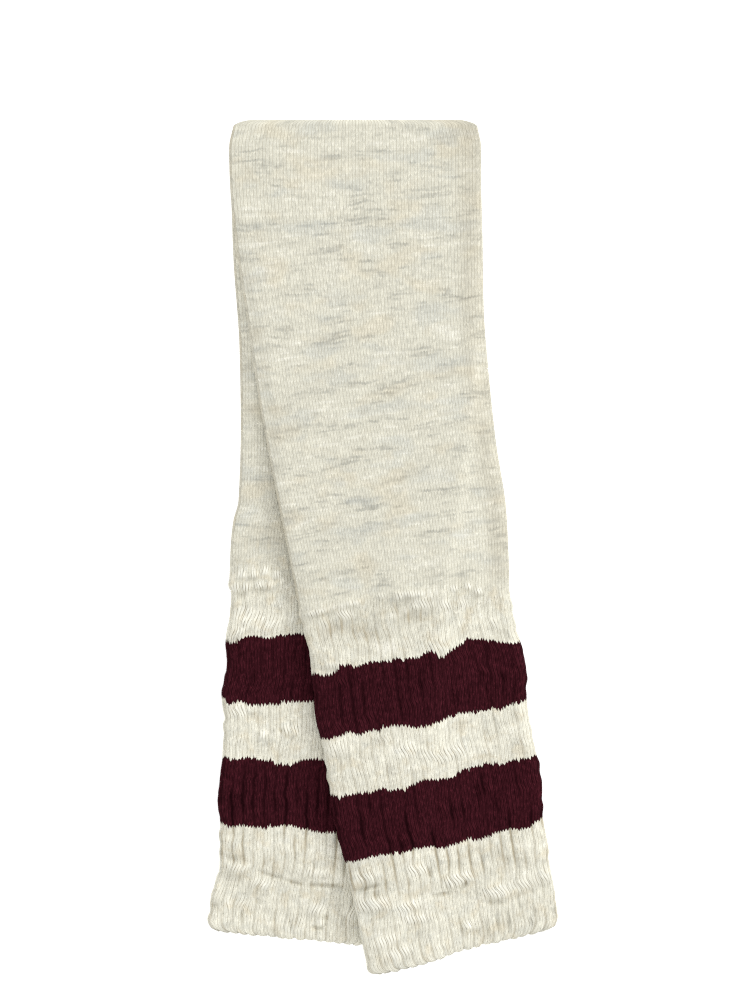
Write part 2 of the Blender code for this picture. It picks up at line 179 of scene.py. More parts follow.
# Where the rim and each band's edges run, as the distance along the leg, at places across the face
Edge = namedtuple("Edge", "across rim band_2_starts band_2_ends band_1_starts band_1_ends")
FRONT_EDGES = table(
    Edge,
    (-42, -1.4, 42.5, 69.8, 92, 116),
    (-38, -1.6, 42.1, 68.4, 91.5, 115.1),
    (-34, -1.8, 42.2, 68.6, 92, 114.8),
    (-30, -2.1, 42.4, 67.6, 93, 117.4),
    (-27, -2.4, 42.9, 67.6, 90.8, 118.1),
    (-24, -2.6, 42.1, 67.9, 91.3, 116.2),
    (-20.5, -2.6, 42, 68.6, 91.8, 117.4),
    (-18, -2.6, 41.7, 66.8, 90.3, 118),
    (-16, -2.6, 42, 67, 91.9, 117.3),
    (-12, -2.4, 42.4, 66.5, 91.9, 117.6),
    (-8, -2, 42, 67.9, 91, 117.8),
    (-4, -1.5, 41.1, 68.7, 89.4, 117.1),
    (0, -0.8, 40.1, 67.8, 89, 116.9),
    (4, -1, 40.6, 67.5, 89.7, 117.7),
    (6.6, -1.1, 41, 66.8, 89.8, 119.3),
    (9, -1, 40.8, 67.9, 90.8, 115.4),
    (13, -1.2, 40.3, 69.7, 91.9, 117.1),
    (18, -1.6, 40.6, 69.5, 91, 119.7),
    (20, -1.8, 41.5, 69.2, 91.2, 120.2),
    (21.5, -1.9, 41.7, 70.1, 90.9, 122.2),
    (25, -1.6, 42, 68.8, 90.4, 120.6),
    (28.1, -1.3, 42.1, 68.3, 91.3, 121),
    (29.6, -1.3, 41.5, 68.7, 89.6, 120),
    (31, -1.4, 41.1, 69.1, 89.7, 119.9),
    (35, -1.7, 41.4, 69.7, 91.1, 118.4),
    (38, -1.9, 43.2, 68.5, 91.8, 117.3),
    (42, -1.6, 44.2, 69.6, 91.8, 117.7),
)
BACK_EDGES = table(
    Edge,
    (-42, -0.7, 44.3, 71, 96, 122),
    (-39.6, -0.8, 43.4, 70.4, 94.4, 119.7),
    (-38, -0.8, 42.7, 71.1, 91.7, 118.8),
    (-34, -1, 41.5, 70.2, 93.7, 121.8),
    (-30, -1.2, 42.8, 71, 92.1, 122.5),
    (-26, -1.2, 42.2, 70.4, 92.1, 121.4),
    (-22, -1.2, 42.6, 70.1, 92.7, 121.5),
    (-19.2, -1.1, 41.7, 70.8, 92.8, 122.4),
    (-18, -1, 42.7, 68.9, 92.4, 122),
    (-14, -0.7, 43.9, 68.6, 94, 122.4),
    (-10, -0.6, 44.1, 69.5, 94, 123),
    (-6, -0.8, 43.5, 71.3, 94.2, 123.3),
    (-1, -0.6, 42.7, 71.6, 94.2, 123),
    (4, -0.2, 42.5, 70.8, 94.2, 122.6),
    (10, 0.2, 42, 70.7, 94, 122),
    (42, 0, 43.3, 71, 93.8, 121.2),
)

# How deep the ribs' sunk stitches lie, along the leg
RibDepth = namedtuple("RibDepth", "along depth")
RIB_DEPTHS = table(
    RibDepth,
    (0, 0.16),
    (6, 0.18),
    (13, 0.07),
    (25, 0.08),
    (31, 0.30),
    (38, 0.40),
    (44, 0.42),
    (64, 0.36),
    (72, 0.12),
    (90, 0.12),
    (98, 0.30),
    (114, 0.28),
    (122, 0.10),
    (132, 0.08),
    (146, 0),
)

# The largest folds of the gathered cuffs: the middle's place, along from the rim and across from the middle
# line, the length and the width, the rise (a trough's is below 0), and the turn anticlockwise in degrees
Fold = namedtuple("Fold", "name along across length width rise turn", defaults=(0,))
FRONT_FOLDS = table(
    Fold,
    ("ridge where the ribs end, left", 142, -30, 26, 7, 1.5, 6),
    ("slope under it", 133.5, -29, 22, 10, -0.9, 8),
    ("slope right of it", 128, -16, 22, 9, -0.5, -10),
    ("ridge where the ribs end, middle", 141.5, 7, 26, 7, 1.5),
    ("ridge where the ribs end, right", 141, 28, 20, 8, 1.3),
    ("dimple under it", 134, 2, 16, 8, -0.8),
    ("roll above band 1", 121, -33, 18, 9, 1, -12),
    ("hump at band 1", 120, 12, 20, 11, 0.9, 20),
    ("hump in band 1", 106, 30, 18, 12, 0.8, -30),
    ("roll between the bands, left", 87, -34, 18, 9, 0.9, -6),
    ("roll between the bands, middle", 79, 2, 32, 9, 0.8),
    ("hump in band 2", 57, 7, 14, 14, 0.9, 60),
    ("roll over the lower crease, left", 35, -34, 20, 8, 1.2, -6),
    ("roll over the lower crease, middle", 27.5, 1, 19, 8, 1.2, 4),
    ("roll, right", 22, 34, 20, 10, 1, 8),
    ("low roll, left", 24, -31, 22, 9, 1.1, -4),
    ("low hump", 19, 15, 18, 9, 0.9, -20),
    ("hump at the rim", 8, 4, 8, 8, 0.8),
    ("roll at the rim, left", 7, -29, 22, 9, 0.7, 4),
)
BACK_FOLDS = table(
    Fold,
    ("ridge where the ribs end", 145, -30, 26, 9, 1.2, 4),
    ("trough above it", 159, -30, 24, 9, -0.4, -2),
    ("roll above band 1", 126, -33, 20, 9, 0.8, 4),
    ("hump in band 1", 107, -27, 18, 12, 0.7, 20),
    ("roll between the bands", 83, -14, 18, 9, 0.8, -4),
    ("hump in band 2", 55, -26, 18, 12, 0.7),
    ("roll over the crease, right", 27, 3, 30, 8, 1.1, 2),
    ("roll over the crease, left", 26, -31, 20, 7, 0.9, -4),
    ("roll under the crease", 19, -19, 12, 7, 0.8, -12),
    ("low roll, left", 14, -34, 12, 9, 0.6, 8),
    ("low hump", 11, 4, 10, 9, 0.7, 20),
)

# The small puckers and creases between them. Lean is how far the wales swing to the right over the upper half
# of a pucker, and to the left over its lower half.
Pucker = namedtuple("Pucker", "along across length width rise lean turn", defaults=(0, 0))
FRONT_PUCKERS = table(
    Pucker,
    # where the ribs end
    (140.5, -35.5, 16, 4, 0.5, -0.4, 7),
    (142.3, -21, 13, 4, 0.5, -0.4, 3),
    (138, -24.5, 9, 5.5, 0.15, -1),
    (136, -33, 8, 5, 0.2, -0.6),
    (143.5, -9.5, 6, 4, 0.25, -0.4),
    (142.5, -3, 5, 5, 0.4, -0.4),
    (137.5, -4.5, 5, 6, -0.5, -0.5),
    (143, 3, 15, 4.5, 0.6, -0.4, -2),
    (138.5, 7, 13, 6, 0.1, -0.9),
    (133.5, 3, 16, 5, -0.3),
    (137, 15.5, 7, 7, 0.3, -1),
    (143, 20, 5, 4.5, 0.6, -0.3),
    (143.2, 25.5, 5, 4.5, 0.6, -0.3),
    (140.5, 29.5, 6, 5, 0.55, -0.5),
    (137.5, 22, 7, 6, 0.4, -0.7),
    (135, 25, 3, 6, -0.3, -0.4),
    (138, 37, 8, 8, 0.25, -0.3),
    (131, -34, 8, 8, -0.25, -0.5),
    (130, -20, 14, 7, -0.25, -0.4, 4),
    (130, -10, 8, 7, 0.2, -0.4),
    (129, 20, 8, 10, 0.2, -0.5),
    # above band 1
    (127, 33, 6, 6, 0.4, -0.6),
    (124, -2, 9, 8, 0.2, -0.5),
    (123, -22, 9, 7, -0.2, 0.3),
    (121, 9, 17, 9, 0.3, -1),
    (119, -33, 12, 6, 0.4, -0.4, -14),
    (123, 39, 5, 8, 0.3, 0.4),
    (118, 31, 10, 6, -0.2, -0.3),
    # in band 1
    (112, -31, 8, 5, 0.55, -0.7, 15),
    (112, -26, 7, 6, -0.4, -0.4, 40),
    (108, -14, 10, 6, 0.25, -0.5),
    (106, 2, 9, 10, 0.3, -0.6, 60),
    (108, 27, 12, 5, 0.5, -0.7, -40),
    (104, 33, 10, 4, -0.5, -0.5, -50),
    (110, 40, 5, 8, 0.4, -0.3),
    (100, -4, 12, 6, 0.35, -0.6, 10),
    (99, 12, 2.6, 13, -0.4, -0.4, 4),
    (98, 26, 2.6, 12, -0.4, -0.5, 6),
    (97, -22, 10, 6, 0.3, -0.6, 20),
    (96, -34, 8, 6, 0.4, -0.7, -10),
    (98, 41, 5, 6, 0.5),
    (115, 16, 12, 4, 0.3, -0.5, 20),
    # between the bands
    (88, -36, 12, 8, 0.35, -0.9, -6),
    (88, -17, 8, 5, 0.3, -0.5),
    (82, -9, 13, 9, 0.4, -1.2),
    (79, -1, 8, 8, 0.2, -0.8),
    (76.5, 4, 10, 8, 0.25, -0.9),
    (78, 11, 11, 8, 0.3, -1.1),
    (81, 24, 6, 7, -0.25, -0.4),
    (83, 31, 8, 12, 0.2, -0.6),
    (87, 38, 6, 8, 0.3, -0.7),
    (76, 22, 7, 6, 0.2, -0.4),
    (77, -30, 14, 7, 0.3, -0.4, -4),
    (75, -18, 8, 7, -0.25, 0.3),
    (74, -6, 10, 5, 0.25, -0.3),
    (85, -26, 8, 7, -0.2, 0.3),
    (76, 38, 8, 7, 0.3, -0.3),
    # in band 2
    (62, -33, 8, 6, 0.35, -0.5, -30),
    (58, -22, 10, 7, 0.3, -0.5, 40),
    (60, -8, 8, 8, 0.25, -0.4),
    (56, 2, 6, 6, 0.5, -0.6),
    (53, 7, 7, 5, -0.4, -0.4, 30),
    (60, 16, 2.6, 14, -0.45, -0.5, 4),
    (61, 20, 9, 6, 0.3, -0.5, -30),
    (54, 22, 2.6, 12, -0.4, -0.5, 6),
    (52, 28, 10, 6, 0.3, -0.6, 20),
    (59, 34, 12, 6, 0.35, -0.5, -20),
    (48, -14, 12, 6, 0.3, -0.5, 10),
    (47, 12, 10, 6, 0.3, -0.5),
    (50, -36, 6, 7, 0.4, -0.4),
    (54, 41, 5, 6, 0.5),
    # the lower cuff: rolls, with a crease under some of them
    (36, -34, 14, 8, 0.3, -1.1, -4),
    (31.2, -33, 12, 2.4, -0.7, 0, 2),
    (30.5, -26, 3, 6, -0.5),
    (27.5, -30.5, 3.5, 4, -0.5),
    (34.5, -12.5, 11, 6, 0.45, -1.2),
    (32.5, -8, 2.6, 6, -0.6, -0.3),
    (29, -17, 9, 6, -0.2, 0.3),
    (27.3, 3, 16, 6, 0.4, -1.4, 4),
    (22.6, -4, 12, 2.2, -0.8),
    (24.3, 4.5, 7, 2.2, -0.7, 0, 42),
    (25.5, -2.5, 1.8, 4, -0.4),
    (24.5, -32, 18, 7, 0.45, -1.3, -4),
    (20.5, -19, 14, 5.5, 0.4, -1, 4),
    (15.5, -17, 16, 5.5, 0.3, -0.9, -4),
    (19.5, 17, 14, 7.5, 0.45, -1.4, -6),
    (15, 15, 12, 3, -0.5, 0, -10),
    (20, 28, 12, 8, 0.35, -1),
    (22, 37, 9, 9, 0.4, -1.1, 6),
    (31, 27, 2.6, 14, -0.35),
    (31, 23.5, 2.4, 12, -0.3),
    (35, 20, 2.6, 7, -0.35),
    (33, 13.5, 2.4, 12, -0.3),
    (15, -7, 8, 6, -0.2, -0.4),
    (8.5, 3, 6, 6, 0.6, -0.7),
    (4.5, 6.5, 5, 4, -0.6, 0, 20),
    (5, 10.5, 2.4, 11, -0.6, -0.4),
    (7, 15, 2.6, 13, -0.65, -0.4),
    (6, 19.3, 2.6, 14, -0.65, -0.4),
    (13, 24.5, 2.4, 9, -0.45),
    (4, 28, 3, 6, -0.4, -0.5),
    (10, 31, 9, 6, 0.25, -0.4),
    (6, 37.5, 3.5, 6, -0.45, -0.4),
    (9.5, -30, 16, 5.5, 0.35, -0.8, 6),
    (4, -26, 18, 5.5, 0.3, -0.8, 4),
    (13, -29, 12, 4, -0.3, 0, 4),
    (6, -12, 12, 8, 0.2, -0.3),
    (2.5, -9, 8, 3, 0.3, -0.3),
)
BACK_PUCKERS = table(
    Pucker,
    (148, -37, 6, 5.5, 0.6, 0.3),
    (147.5, -32, 5.5, 5, 0.6, -0.3),
    (148.5, -27.5, 5.5, 5.5, 0.6, 0.3),
    (147, -22.5, 5.5, 5, 0.6, -0.3),
    (142.5, -39, 5, 5.5, 0.6, 0.3),
    (142.5, -34.5, 6, 5, 0.6, 0.4),
    (143, -29.5, 5.5, 5, 0.6, -0.4),
    (142.5, -25, 6, 5, 0.6, 0.4),
    (144.5, -20, 5, 5, 0.3, -0.3),
    (145.4, -34, 8, 2.5, -0.25, 0, 4),
    (139, -36.5, 4.5, 3.5, -0.5),
    (140.5, -27, 18, 4, -0.25, 0, 2),
    (136, -22, 9, 6, 0.3, -0.3),
    (133, -36, 8, 7, -0.25, 0.8),
    (129.5, -33, 14, 11, 0.2, 1.2),
    (127, -24, 12, 9, 0.2, 1.1),
    (124, -37, 9, 6, 0.4, 0.9),
    (120.5, -38, 6, 4, -0.5, 0.5),
    (119, -28, 10, 6, 0.25, 0.4),
    (112, -22, 8, 9, 0.3, -0.5, 30),
    (111, -35, 8, 7, 0.35, -0.5, -20),
    (106, -29, 2.6, 12, -0.4),
    (103, -38, 6, 7, 0.4, 0.4),
    (104, -19, 9, 8, 0.3, -0.5, 40),
    (100, -27, 10, 6, 0.25, 0.4),
    (97, -12, 10, 6, 0.25, -0.4),
    (90, -34, 11, 7, 0.35, -1.1),
    (88, -27, 8, 5, -0.2, 0.3),
    (83.5, -13, 13, 8, 0.4, -1.1),
    (83, -17, 3, 3, -0.4),
    (81, -24, 5, 6, 0.6),
    (77.5, -20.5, 4, 4, -0.3),
    (78, -33, 10, 6, 0.25, 0.3),
    (75, -8, 12, 6, 0.3, -0.3),
    (68, -37, 7, 6, 0.35, 0.3),
    (64, -20, 6, 9, 0.35, -0.7),
    (58, -33, 9, 6, 0.3, 0.5),
    (57, -8, 2.6, 14, -0.4),
    (55, -13, 10, 8, 0.3, -0.5, 30),
    (51, -38, 5, 6, 0.5, 0.4),
    (49, -24, 10, 6, 0.25, -0.5),
    (48, -3, 10, 6, 0.3, -0.5),
    # the lower cuff: rolls, and the long crease
    (35, -11, 12, 7, 0.3, -0.5),
    (36, -34, 10, 6, 0.3, 0.5, -8),
    (29.7, -31, 9, 4, -0.55),
    (31.5, -38, 4, 3, -0.4),
    (26, -31, 15, 6, 0.45, 0.5, -4),
    (28.5, -19, 10, 6, -0.25, 0.2),
    (24.2, -16.5, 15, 2.3, -0.65, 0, -12),
    (22, -6.5, 10, 2.3, -0.8, 0, -9),
    (22, 6.5, 20, 2.3, -0.85, 0, 4),
    (27, 0, 20, 5, 0.4, 0.2, 2),
    (29, 10.5, 6, 9, 0.2, -0.5),
    (20.5, -19.5, 11, 6, 0.4, 0.8, -10),
    (17, -36, 9, 15, 0.3, 0.9),
    (21, -30, 12, 6, -0.25, 0.2),
    (10.5, -31.5, 4.5, 9, 0.35, -1.2),
    (9, -36.5, 4, 3, -0.5, 0, -20),
    (11, -26, 8, 8, 0.2, 0.8),
    (13, -20, 4, 3, -0.4),
    (5, -21, 10, 9, 0.2, 0.5),
    (5, -26, 2.4, 8, -0.4, 0.3),
    (6, -9, 8, 10, 0.2, 0.7),
    (4.5, -6, 2.6, 6, -0.6, 0.4),
    (5.5, -2.5, 8, 11, 0.25, 0.9),
    (12.5, 4, 10, 7, 0.35, 1, 10),
    (7.3, 6, 4.5, 5, 0.7),
    (9.3, 8, 3, 2.6, -0.5),
    (4.6, 5.5, 7, 2.4, -0.6, 0, -8),
    (13, 18, 7, 9, 0.3, 1.1),
    (9, 15.5, 3, 7, -0.5, 0.5),
)
FOLD_SOFTNESS = 1.5  # how softly a fold or a pucker runs out into the cloth round it
PUCKER_SCALE = 2.0
LEAN_OPENS, LEAN_WIDTH = 1.3, 7.0  # the lean that opens the stitches fully, in a pucker of this width
RISE_OPENS = 0.6  # and the rise that does
LEAN_SHIFT = 1.8
LEAN_TAIL = 3.0  # over how many times its width a pucker's wales come back
LOWEST = 1.1  # how far the cloth can dip at most, to stay clear of the layer behind it
RIB_SHADE, CREASE_SHADE, FOLD_SHADE = 0.32, 0.24, 0.20  # how much painted shade darkens each millimetre down in them
# the most that the painted shade darkens
DARKEST_PAINTED_SHADE = 0.5

# The unevenness between the puckers: its height, how far it swings the wales, and the size of its patches
CRINKLE_RISE = 0.24
CRINKLE_LEAN = 0.28
CRINKLE_LENGTH, CRINKLE_WIDTH = 3.6, 7.0
CRINKLE_COARSE = 0.7  # the share of its height that is in the larger patches
PLAIN_RISE = 0.05
EDGE_HOLD = 4.0  # how near its edge a leg's wales stop swinging
EDGE_LUMPS, EDGE_LUMP_LENGTH, EDGE_LUMP_REACH = 0.7, 3.5, 6.0  # the lumps of the gathered edges
EDGE_LUMPS_AT, EDGE_LUMPS_APART = 20, 7.5  # where in the random patches the two edges' lumps are read
COARSE, FINE, SWING, EDGE, RIB, RIM = range(6)  # a sock's kinds of random patches

# How finely the shell is made
WALE_POINTS = 3
FACE_POINTS = 25
PLAIN_POINTS = 73
SIDE_POINTS = 7
CUFF_STEP = 0.55
FINE_END = 10.0  # how far past the ribs the fine rows go on
PLAIN_STEP = 1.6
FOOT_STEP = 4.0
INSIDE_STEP = 4.0
FOLD_STEPS = 14
TOE_STEPS = 10
FACE_SHARE, SIDE_SHARE = 0.4, 0.1  # of the way round a flat tube
SAME_SHARE = 1e-6  # shares nearer than this are one place
LOCATING_STEP = 1.4
BED_STEP = 2.5
BED_COLUMNS = 61
BED_REACH = 1.15  # how far the bed is worked out past the edge, as a share of half the width
LAST_CELL = 1.001  # how far before a grid's end it is read last, so that there is a cell to read


def smooth_through(at, knots, values):
    """A cubic curve through a table's values that never runs past them."""
    at, knots, values = (np.asarray(given, float) for given in (at, knots, values))
    rises = np.diff(values) / np.diff(knots)
    before, after = rises[:-1], rises[1:]
    same_way = before * after > 0
    middle = np.where(same_way, 2 * before * after / np.where(same_way, before + after, 1), 0)
    slopes = np.concatenate([rises[:1], middle, rises[-1:]])
    i = np.clip(np.searchsorted(knots, at) - 1, 0, len(knots) - 2)
    step = knots[i + 1] - knots[i]
    t = np.clip((at - knots[i]) / step, 0, 1)
    start = (1 + 2 * t) * (1 - t) ** 2 * values[i] + t * (1 - t) ** 2 * step * slopes[i]
    end = t**2 * (3 - 2 * t) * values[i + 1] - t**2 * (1 - t) * step * slopes[i + 1]
    return start + end


def ease(t):
    """0 up to t = 0, 1 from t = 1, and a soft S between."""
    t = np.clip(t, 0, 1)
    return t * t * (3 - 2 * t)


def inside_rounded(to_side, to_end, radius):
    """The distance inside an outline whose corner is rounded, from those to its side and its end."""
    over_side, over_end = np.maximum(radius - to_side, 0), np.maximum(radius - to_end, 0)
    nearest = np.minimum(np.minimum(to_side, to_end), radius)
    return np.where((over_side > 0) & (over_end > 0), radius - np.hypot(over_side, over_end), nearest)


def rounded_in(half_width, to_end, radius):
    """Half a flat shape's width, near an end whose corners are rounded."""
    near = np.clip(radius - to_end, 0, radius)
    return half_width - radius + np.sqrt(radius**2 - near**2)


def between(values, down, right):
    """A value between four neighbours, which are given row by row."""
    first = values[0] * (1 - right) + values[1] * right
    second = values[2] * (1 - right) + values[3] * right
    return first * (1 - down) + second * down


def read_between(heights, i, j):
    """A grid's value at a place between its rows and columns."""
    i, j = (np.clip(at, 0, count - LAST_CELL) for at, count in zip((i, j), heights.shape))
    row, column = i.astype(int), j.astype(int)
    return between([heights[row + a, column + b] for a in (0, 1) for b in (0, 1)], i - row, j - column)


def patches(seed, up, over):
    """Smooth random patches, about one unit across, from -1 to 1."""
    size = 160
    values = np.random.default_rng(seed).uniform(-1, 1, (size, size))
    row, column = np.floor(up).astype(int), np.floor(over).astype(int)
    near = [values[(row + a) % size, (column + b) % size] for a in (0, 1) for b in (0, 1)]
    return between(near, ease(up - row), ease(over - column))


def reach_of(fold, along, across):
    """How much of a fold is at a point, from 0 to 1, and how far across the fold the point is."""
    turn = math.radians(fold.turn)
    up, over = along - fold.along, across - fold.across
    lengthwise = (over * math.cos(turn) + up * math.sin(turn)) / (fold.length / 2)
    widthwise = (up * math.cos(turn) - over * math.sin(turn)) / (fold.width / 2)
    reach = np.clip(1 - lengthwise**2, 0, 1) * np.clip(1 - widthwise**2, 0, 1)
    return reach**FOLD_SOFTNESS, widthwise


class Sock:
    """A sock's layout: where its cloth lies, from tables of rows, folds and puckers.

    A point is given by how far along the leg it is from the rim, and how far across from the middle line.
    """

    def __init__(self, rows, folds, puckers, edges, seed, below=None):
        self.left = np.array([(row.left_x, row.left_y) for row in rows]) - MIDDLE
        self.right = np.array([(row.right_x, row.right_y) for row in rows]) - MIDDLE
        steps = np.hypot(*np.diff((self.left + self.right) / 2, axis=0).T)
        self.knots = np.concatenate([[0], np.cumsum(steps)])
        self.length = self.knots[-1]
        self.ribs_end = self.knots[[row.name for row in rows].index("ribs end")]
        self.toe_along = self.length - FOOT_ROWS[-1].from_fold
        self.folds, self.puckers, self.edges = folds, puckers, edges
        self.seed, self.below = seed, below

    def row(self, along):
        """A row's middle, its direction across, and half its width."""
        left, right = (
            np.stack([smooth_through(along, self.knots, side[:, axis]) for axis in (0, 1)], axis=-1)
            for side in (self.left, self.right)
        )
        width = np.linalg.norm(right - left, axis=-1)
        return (left + right) / 2, (right - left) / width[..., None], width / 2

    def place(self, along, across):
        """Where a point lies, also a little past the rim."""
        middle, direction, _ = self.row(along)
        past_rim = uphill_of(direction) * np.minimum(along, 0)[..., None]
        return middle + direction * across[..., None] + past_rim

    def locate(self, points):
        """The along and the across of points given as x and y."""
        samples = np.arange(0, self.length + LOCATING_STEP, LOCATING_STEP)
        middles, directions, _ = self.row(samples)
        height = ((points[:, None] - middles) * uphill_of(directions)).sum(-1)
        nearest = np.abs(height).argmin(axis=1)
        along = samples[nearest] + height[np.arange(len(points)), nearest]
        middle, direction, _ = self.row(along)
        return along, ((points - middle) * direction).sum(-1)

    def patches(self, kind, up, over):
        """The sock's own random patches of a kind."""
        return patches(self.seed + kind, up, over)

    def ribbed(self, along):
        return ease((self.ribs_end - along) / RIB_FADE)

    def gathered(self, along):
        """1 in the cuff and 0 on the plain leg."""
        return self.ribbed(along - RIB_FADE)

    def inside_gap(self, along):
        return INSIDE_GAP + (MOUTH_GAP - INSIDE_GAP) * ease(1 - along / MOUTH_DEPTH)

    def upper_wall(self, along):
        return PLAIN_WALL + (CUFF_WALL - PLAIN_WALL) * self.ribbed(along)

    def leg_thickness(self, along):
        return PLAIN_WALL + self.inside_gap(along) + self.upper_wall(along)

    def folds_at(self, along, across):
        """The height of the folds at a point."""
        return sum(fold.rise * reach_of(fold, along, across)[0] for fold in self.folds)

    def foot_half_width(self, along):
        """Half the foot's width behind a place on the leg, before the toe's rounding."""
        from_fold = self.length - np.asarray(along, float)
        own = smooth_through(from_fold, *zip(*[(row.from_fold, row.half_width) for row in FOOT_ROWS]))
        inset = FOOT_INSET * ease(from_fold / FOOT_ROWS[1].from_fold)
        return np.minimum(own, self.row(along)[2] - inset)

    def foot_cover(self, along, to_side, lead=0.0):
        """1 over the foot, and down to 0 where the drape over its edge ends."""
        to_end = (along - self.toe_along) * FOOT_DRAPE / TOE_DRAPE
        return ease(1 + (inside_rounded(to_side, to_end, FOOT_DRAPE) + lead) / FOOT_DRAPE)

    def leg_cover(self, along, to_side):
        return ease(1 + (inside_rounded(to_side, along, CORNER) + DRAPE_LEAD) / SOCK_DRAPE)

    def foot_base(self, points):
        """The height of what the sock lies on."""
        return self.below.top(points) if self.below else np.zeros(len(points))

    def leg_base(self, points):
        """The height of the leg's underside, over the foot behind it."""
        along, across = self.locate(points)
        cover = self.foot_cover(along, self.foot_half_width(along) - np.abs(across))
        return self.foot_base(points) + (FOOT_THICKNESS + LAYER_GAP) * cover

    def top(self, points):
        """A soft surface just over the sock, for the next one to lie on."""
        along, across = self.locate(points)
        clamped = np.clip(along, 0, self.length)
        leg = self.leg_thickness(clamped) + SOCK_GAP + WALE_RISE * self.ribbed(clamped)
        leg = leg + np.maximum(self.folds_at(along, across), 0)
        near = [self.locate(points + (0, shift)) for shift in DRAPE_BLUR]
        to_foot_side = sum(self.foot_half_width(up) - np.abs(over) for up, over in near) / len(near)
        to_leg_side = sum(self.row(up)[2] - np.abs(over) for up, over in near) / len(near)
        foot = (FOOT_THICKNESS + LAYER_GAP) * self.foot_cover(along, to_foot_side, lead=DRAPE_LEAD)
        return foot + leg * self.leg_cover(along, to_leg_side)

    def wander(self, along, across):
        """How far the gathers carry a course from its even place, by how the rim and the bands' edges run."""
        even = [0, *(course * COURSE for band in BAND_COURSES for course in band)]
        knots = [even[0], RIM_EASES, *even[1:], self.ribs_end]
        places, *runs = zip(*self.edges)
        shift = 0.0
        for at, run in zip(even, runs):
            share = np.interp(along, knots, [float(knot == at) for knot in knots])
            shift = shift + (np.interp(across, places, run) - at) * share
        return shift

    def crinkle(self, along, across):
        """The unevenness between the puckers, from about -1 to 1."""
        coarse = self.patches(COARSE, along / CRINKLE_LENGTH, across / CRINKLE_WIDTH)
        fine = self.patches(FINE, along * 2 / CRINKLE_LENGTH, across * 2 / CRINKLE_WIDTH)
        return CRINKLE_COARSE * coarse + (1 - CRINKLE_COARSE) * fine

    def relief(self, along, across, wale, lean):
        """The height of the ribs, wales, folds and puckers over the flat cloth, its painted shade in the
        hollows, and its opening.
        """
        depth = np.interp(along, *zip(*RIB_DEPTHS))
        along_rib = self.patches(RIB, along / RIB_PATCH, wale / RIB_WALES)
        depth = depth * np.clip(RIB_MEAN + RIB_SPREAD * along_rib, RIB_LEAST, RIB_MOST)
        sunk = sunk_wale(wale)
        wales = WALE_RISE * (1 + np.abs(lean)) * self.ribbed(along) * np.sin(math.pi * (wale % 1)) ** 2
        rises = [pucker.rise * reach_of(pucker, along, across)[0] for pucker in self.puckers]
        raised = sum(np.maximum(rise, 0) for rise in rises)
        creased = sum(np.maximum(-rise, 0) for rise in rises)
        gathered = self.gathered(along)
        uneven = (CRINKLE_RISE * gathered + PLAIN_RISE * (1 - gathered)) * self.crinkle(along, across)
        folds = self.folds_at(along, across)
        height = wales - depth * sunk + folds + PUCKER_SCALE * sum(rises) + uneven
        height = np.where(height < 0, LOWEST * np.tanh(height / LOWEST), height)
        # painted shade: the deeper down in the ribs' grooves, the creases and the folds' troughs, the darker
        deep = RIB_SHADE * depth * sunk + CREASE_SHADE * creased + FOLD_SHADE * np.maximum(-folds, 0)
        return height, np.clip(deep, 0, DARKEST_PAINTED_SHADE), np.clip(raised / RISE_OPENS, 0, 1)

    def swing(self, along, across):
        """How far the gathers push the wales to the right, and how that leans the stitches, from -1 to 1."""
        shift, lean = 0.0, 0.0
        for pucker in self.puckers:
            reach, widthwise = reach_of(pucker, along, across)
            lean = lean + np.sqrt(reach) * pucker.lean / LEAN_OPENS * LEAN_WIDTH / pucker.width
            tail, _ = reach_of(pucker._replace(width=LEAN_TAIL * pucker.width), along, across)
            shift = shift + LEAN_SHIFT * pucker.lean * tail * widthwise / (1 + widthwise**2)
        uneven = self.patches(SWING, along / CRINKLE_LENGTH, across / CRINKLE_WIDTH / 2)
        gathered = self.gathered(along)
        shift = shift + CRINKLE_LEAN * gathered * uneven
        from_edge, side = self.row(along)[2] - np.abs(across), np.sign(across)
        lumps = self.patches(EDGE, along / EDGE_LUMP_LENGTH, EDGE_LUMPS_AT + EDGE_LUMPS_APART * side)
        outwards = EDGE_LUMPS * gathered * lumps * side * (1 - ease(from_edge / EDGE_LUMP_REACH))
        return shift * ease(from_edge / EDGE_HOLD) + outwards, np.clip(lean, -1, 1)


def uphill_of(direction):
    """Square to a row's direction, along the leg."""
    return np.stack([-direction[..., 1], direction[..., 0]], axis=-1)


def sunk_wale(wale):
    """1 in the middle of each rib's sunk wale, and 0 over its raised ones."""
    from_sunk = np.abs((wale - 0.5 + RIB_WALES / 2) % RIB_WALES - RIB_WALES / 2)
    return ease((SUNK_REACH - from_sunk) / SUNK_SLOPE)


def closed_up(wale, ribbed):
    """Where a wale lies across the face, in plain wales: where there are ribs, the sunk wales close up."""
    within = wale % RIB_WALES
    wider = (RIB_WALES - SUNK_WIDTH) / (RIB_WALES - 1)
    in_rib = np.where(within < 1, within * SUNK_WIDTH, SUNK_WIDTH + (within - 1) * wider)
    return wale + (in_rib - within) * ribbed


Loops = namedtuple("Loops", "share across height top")


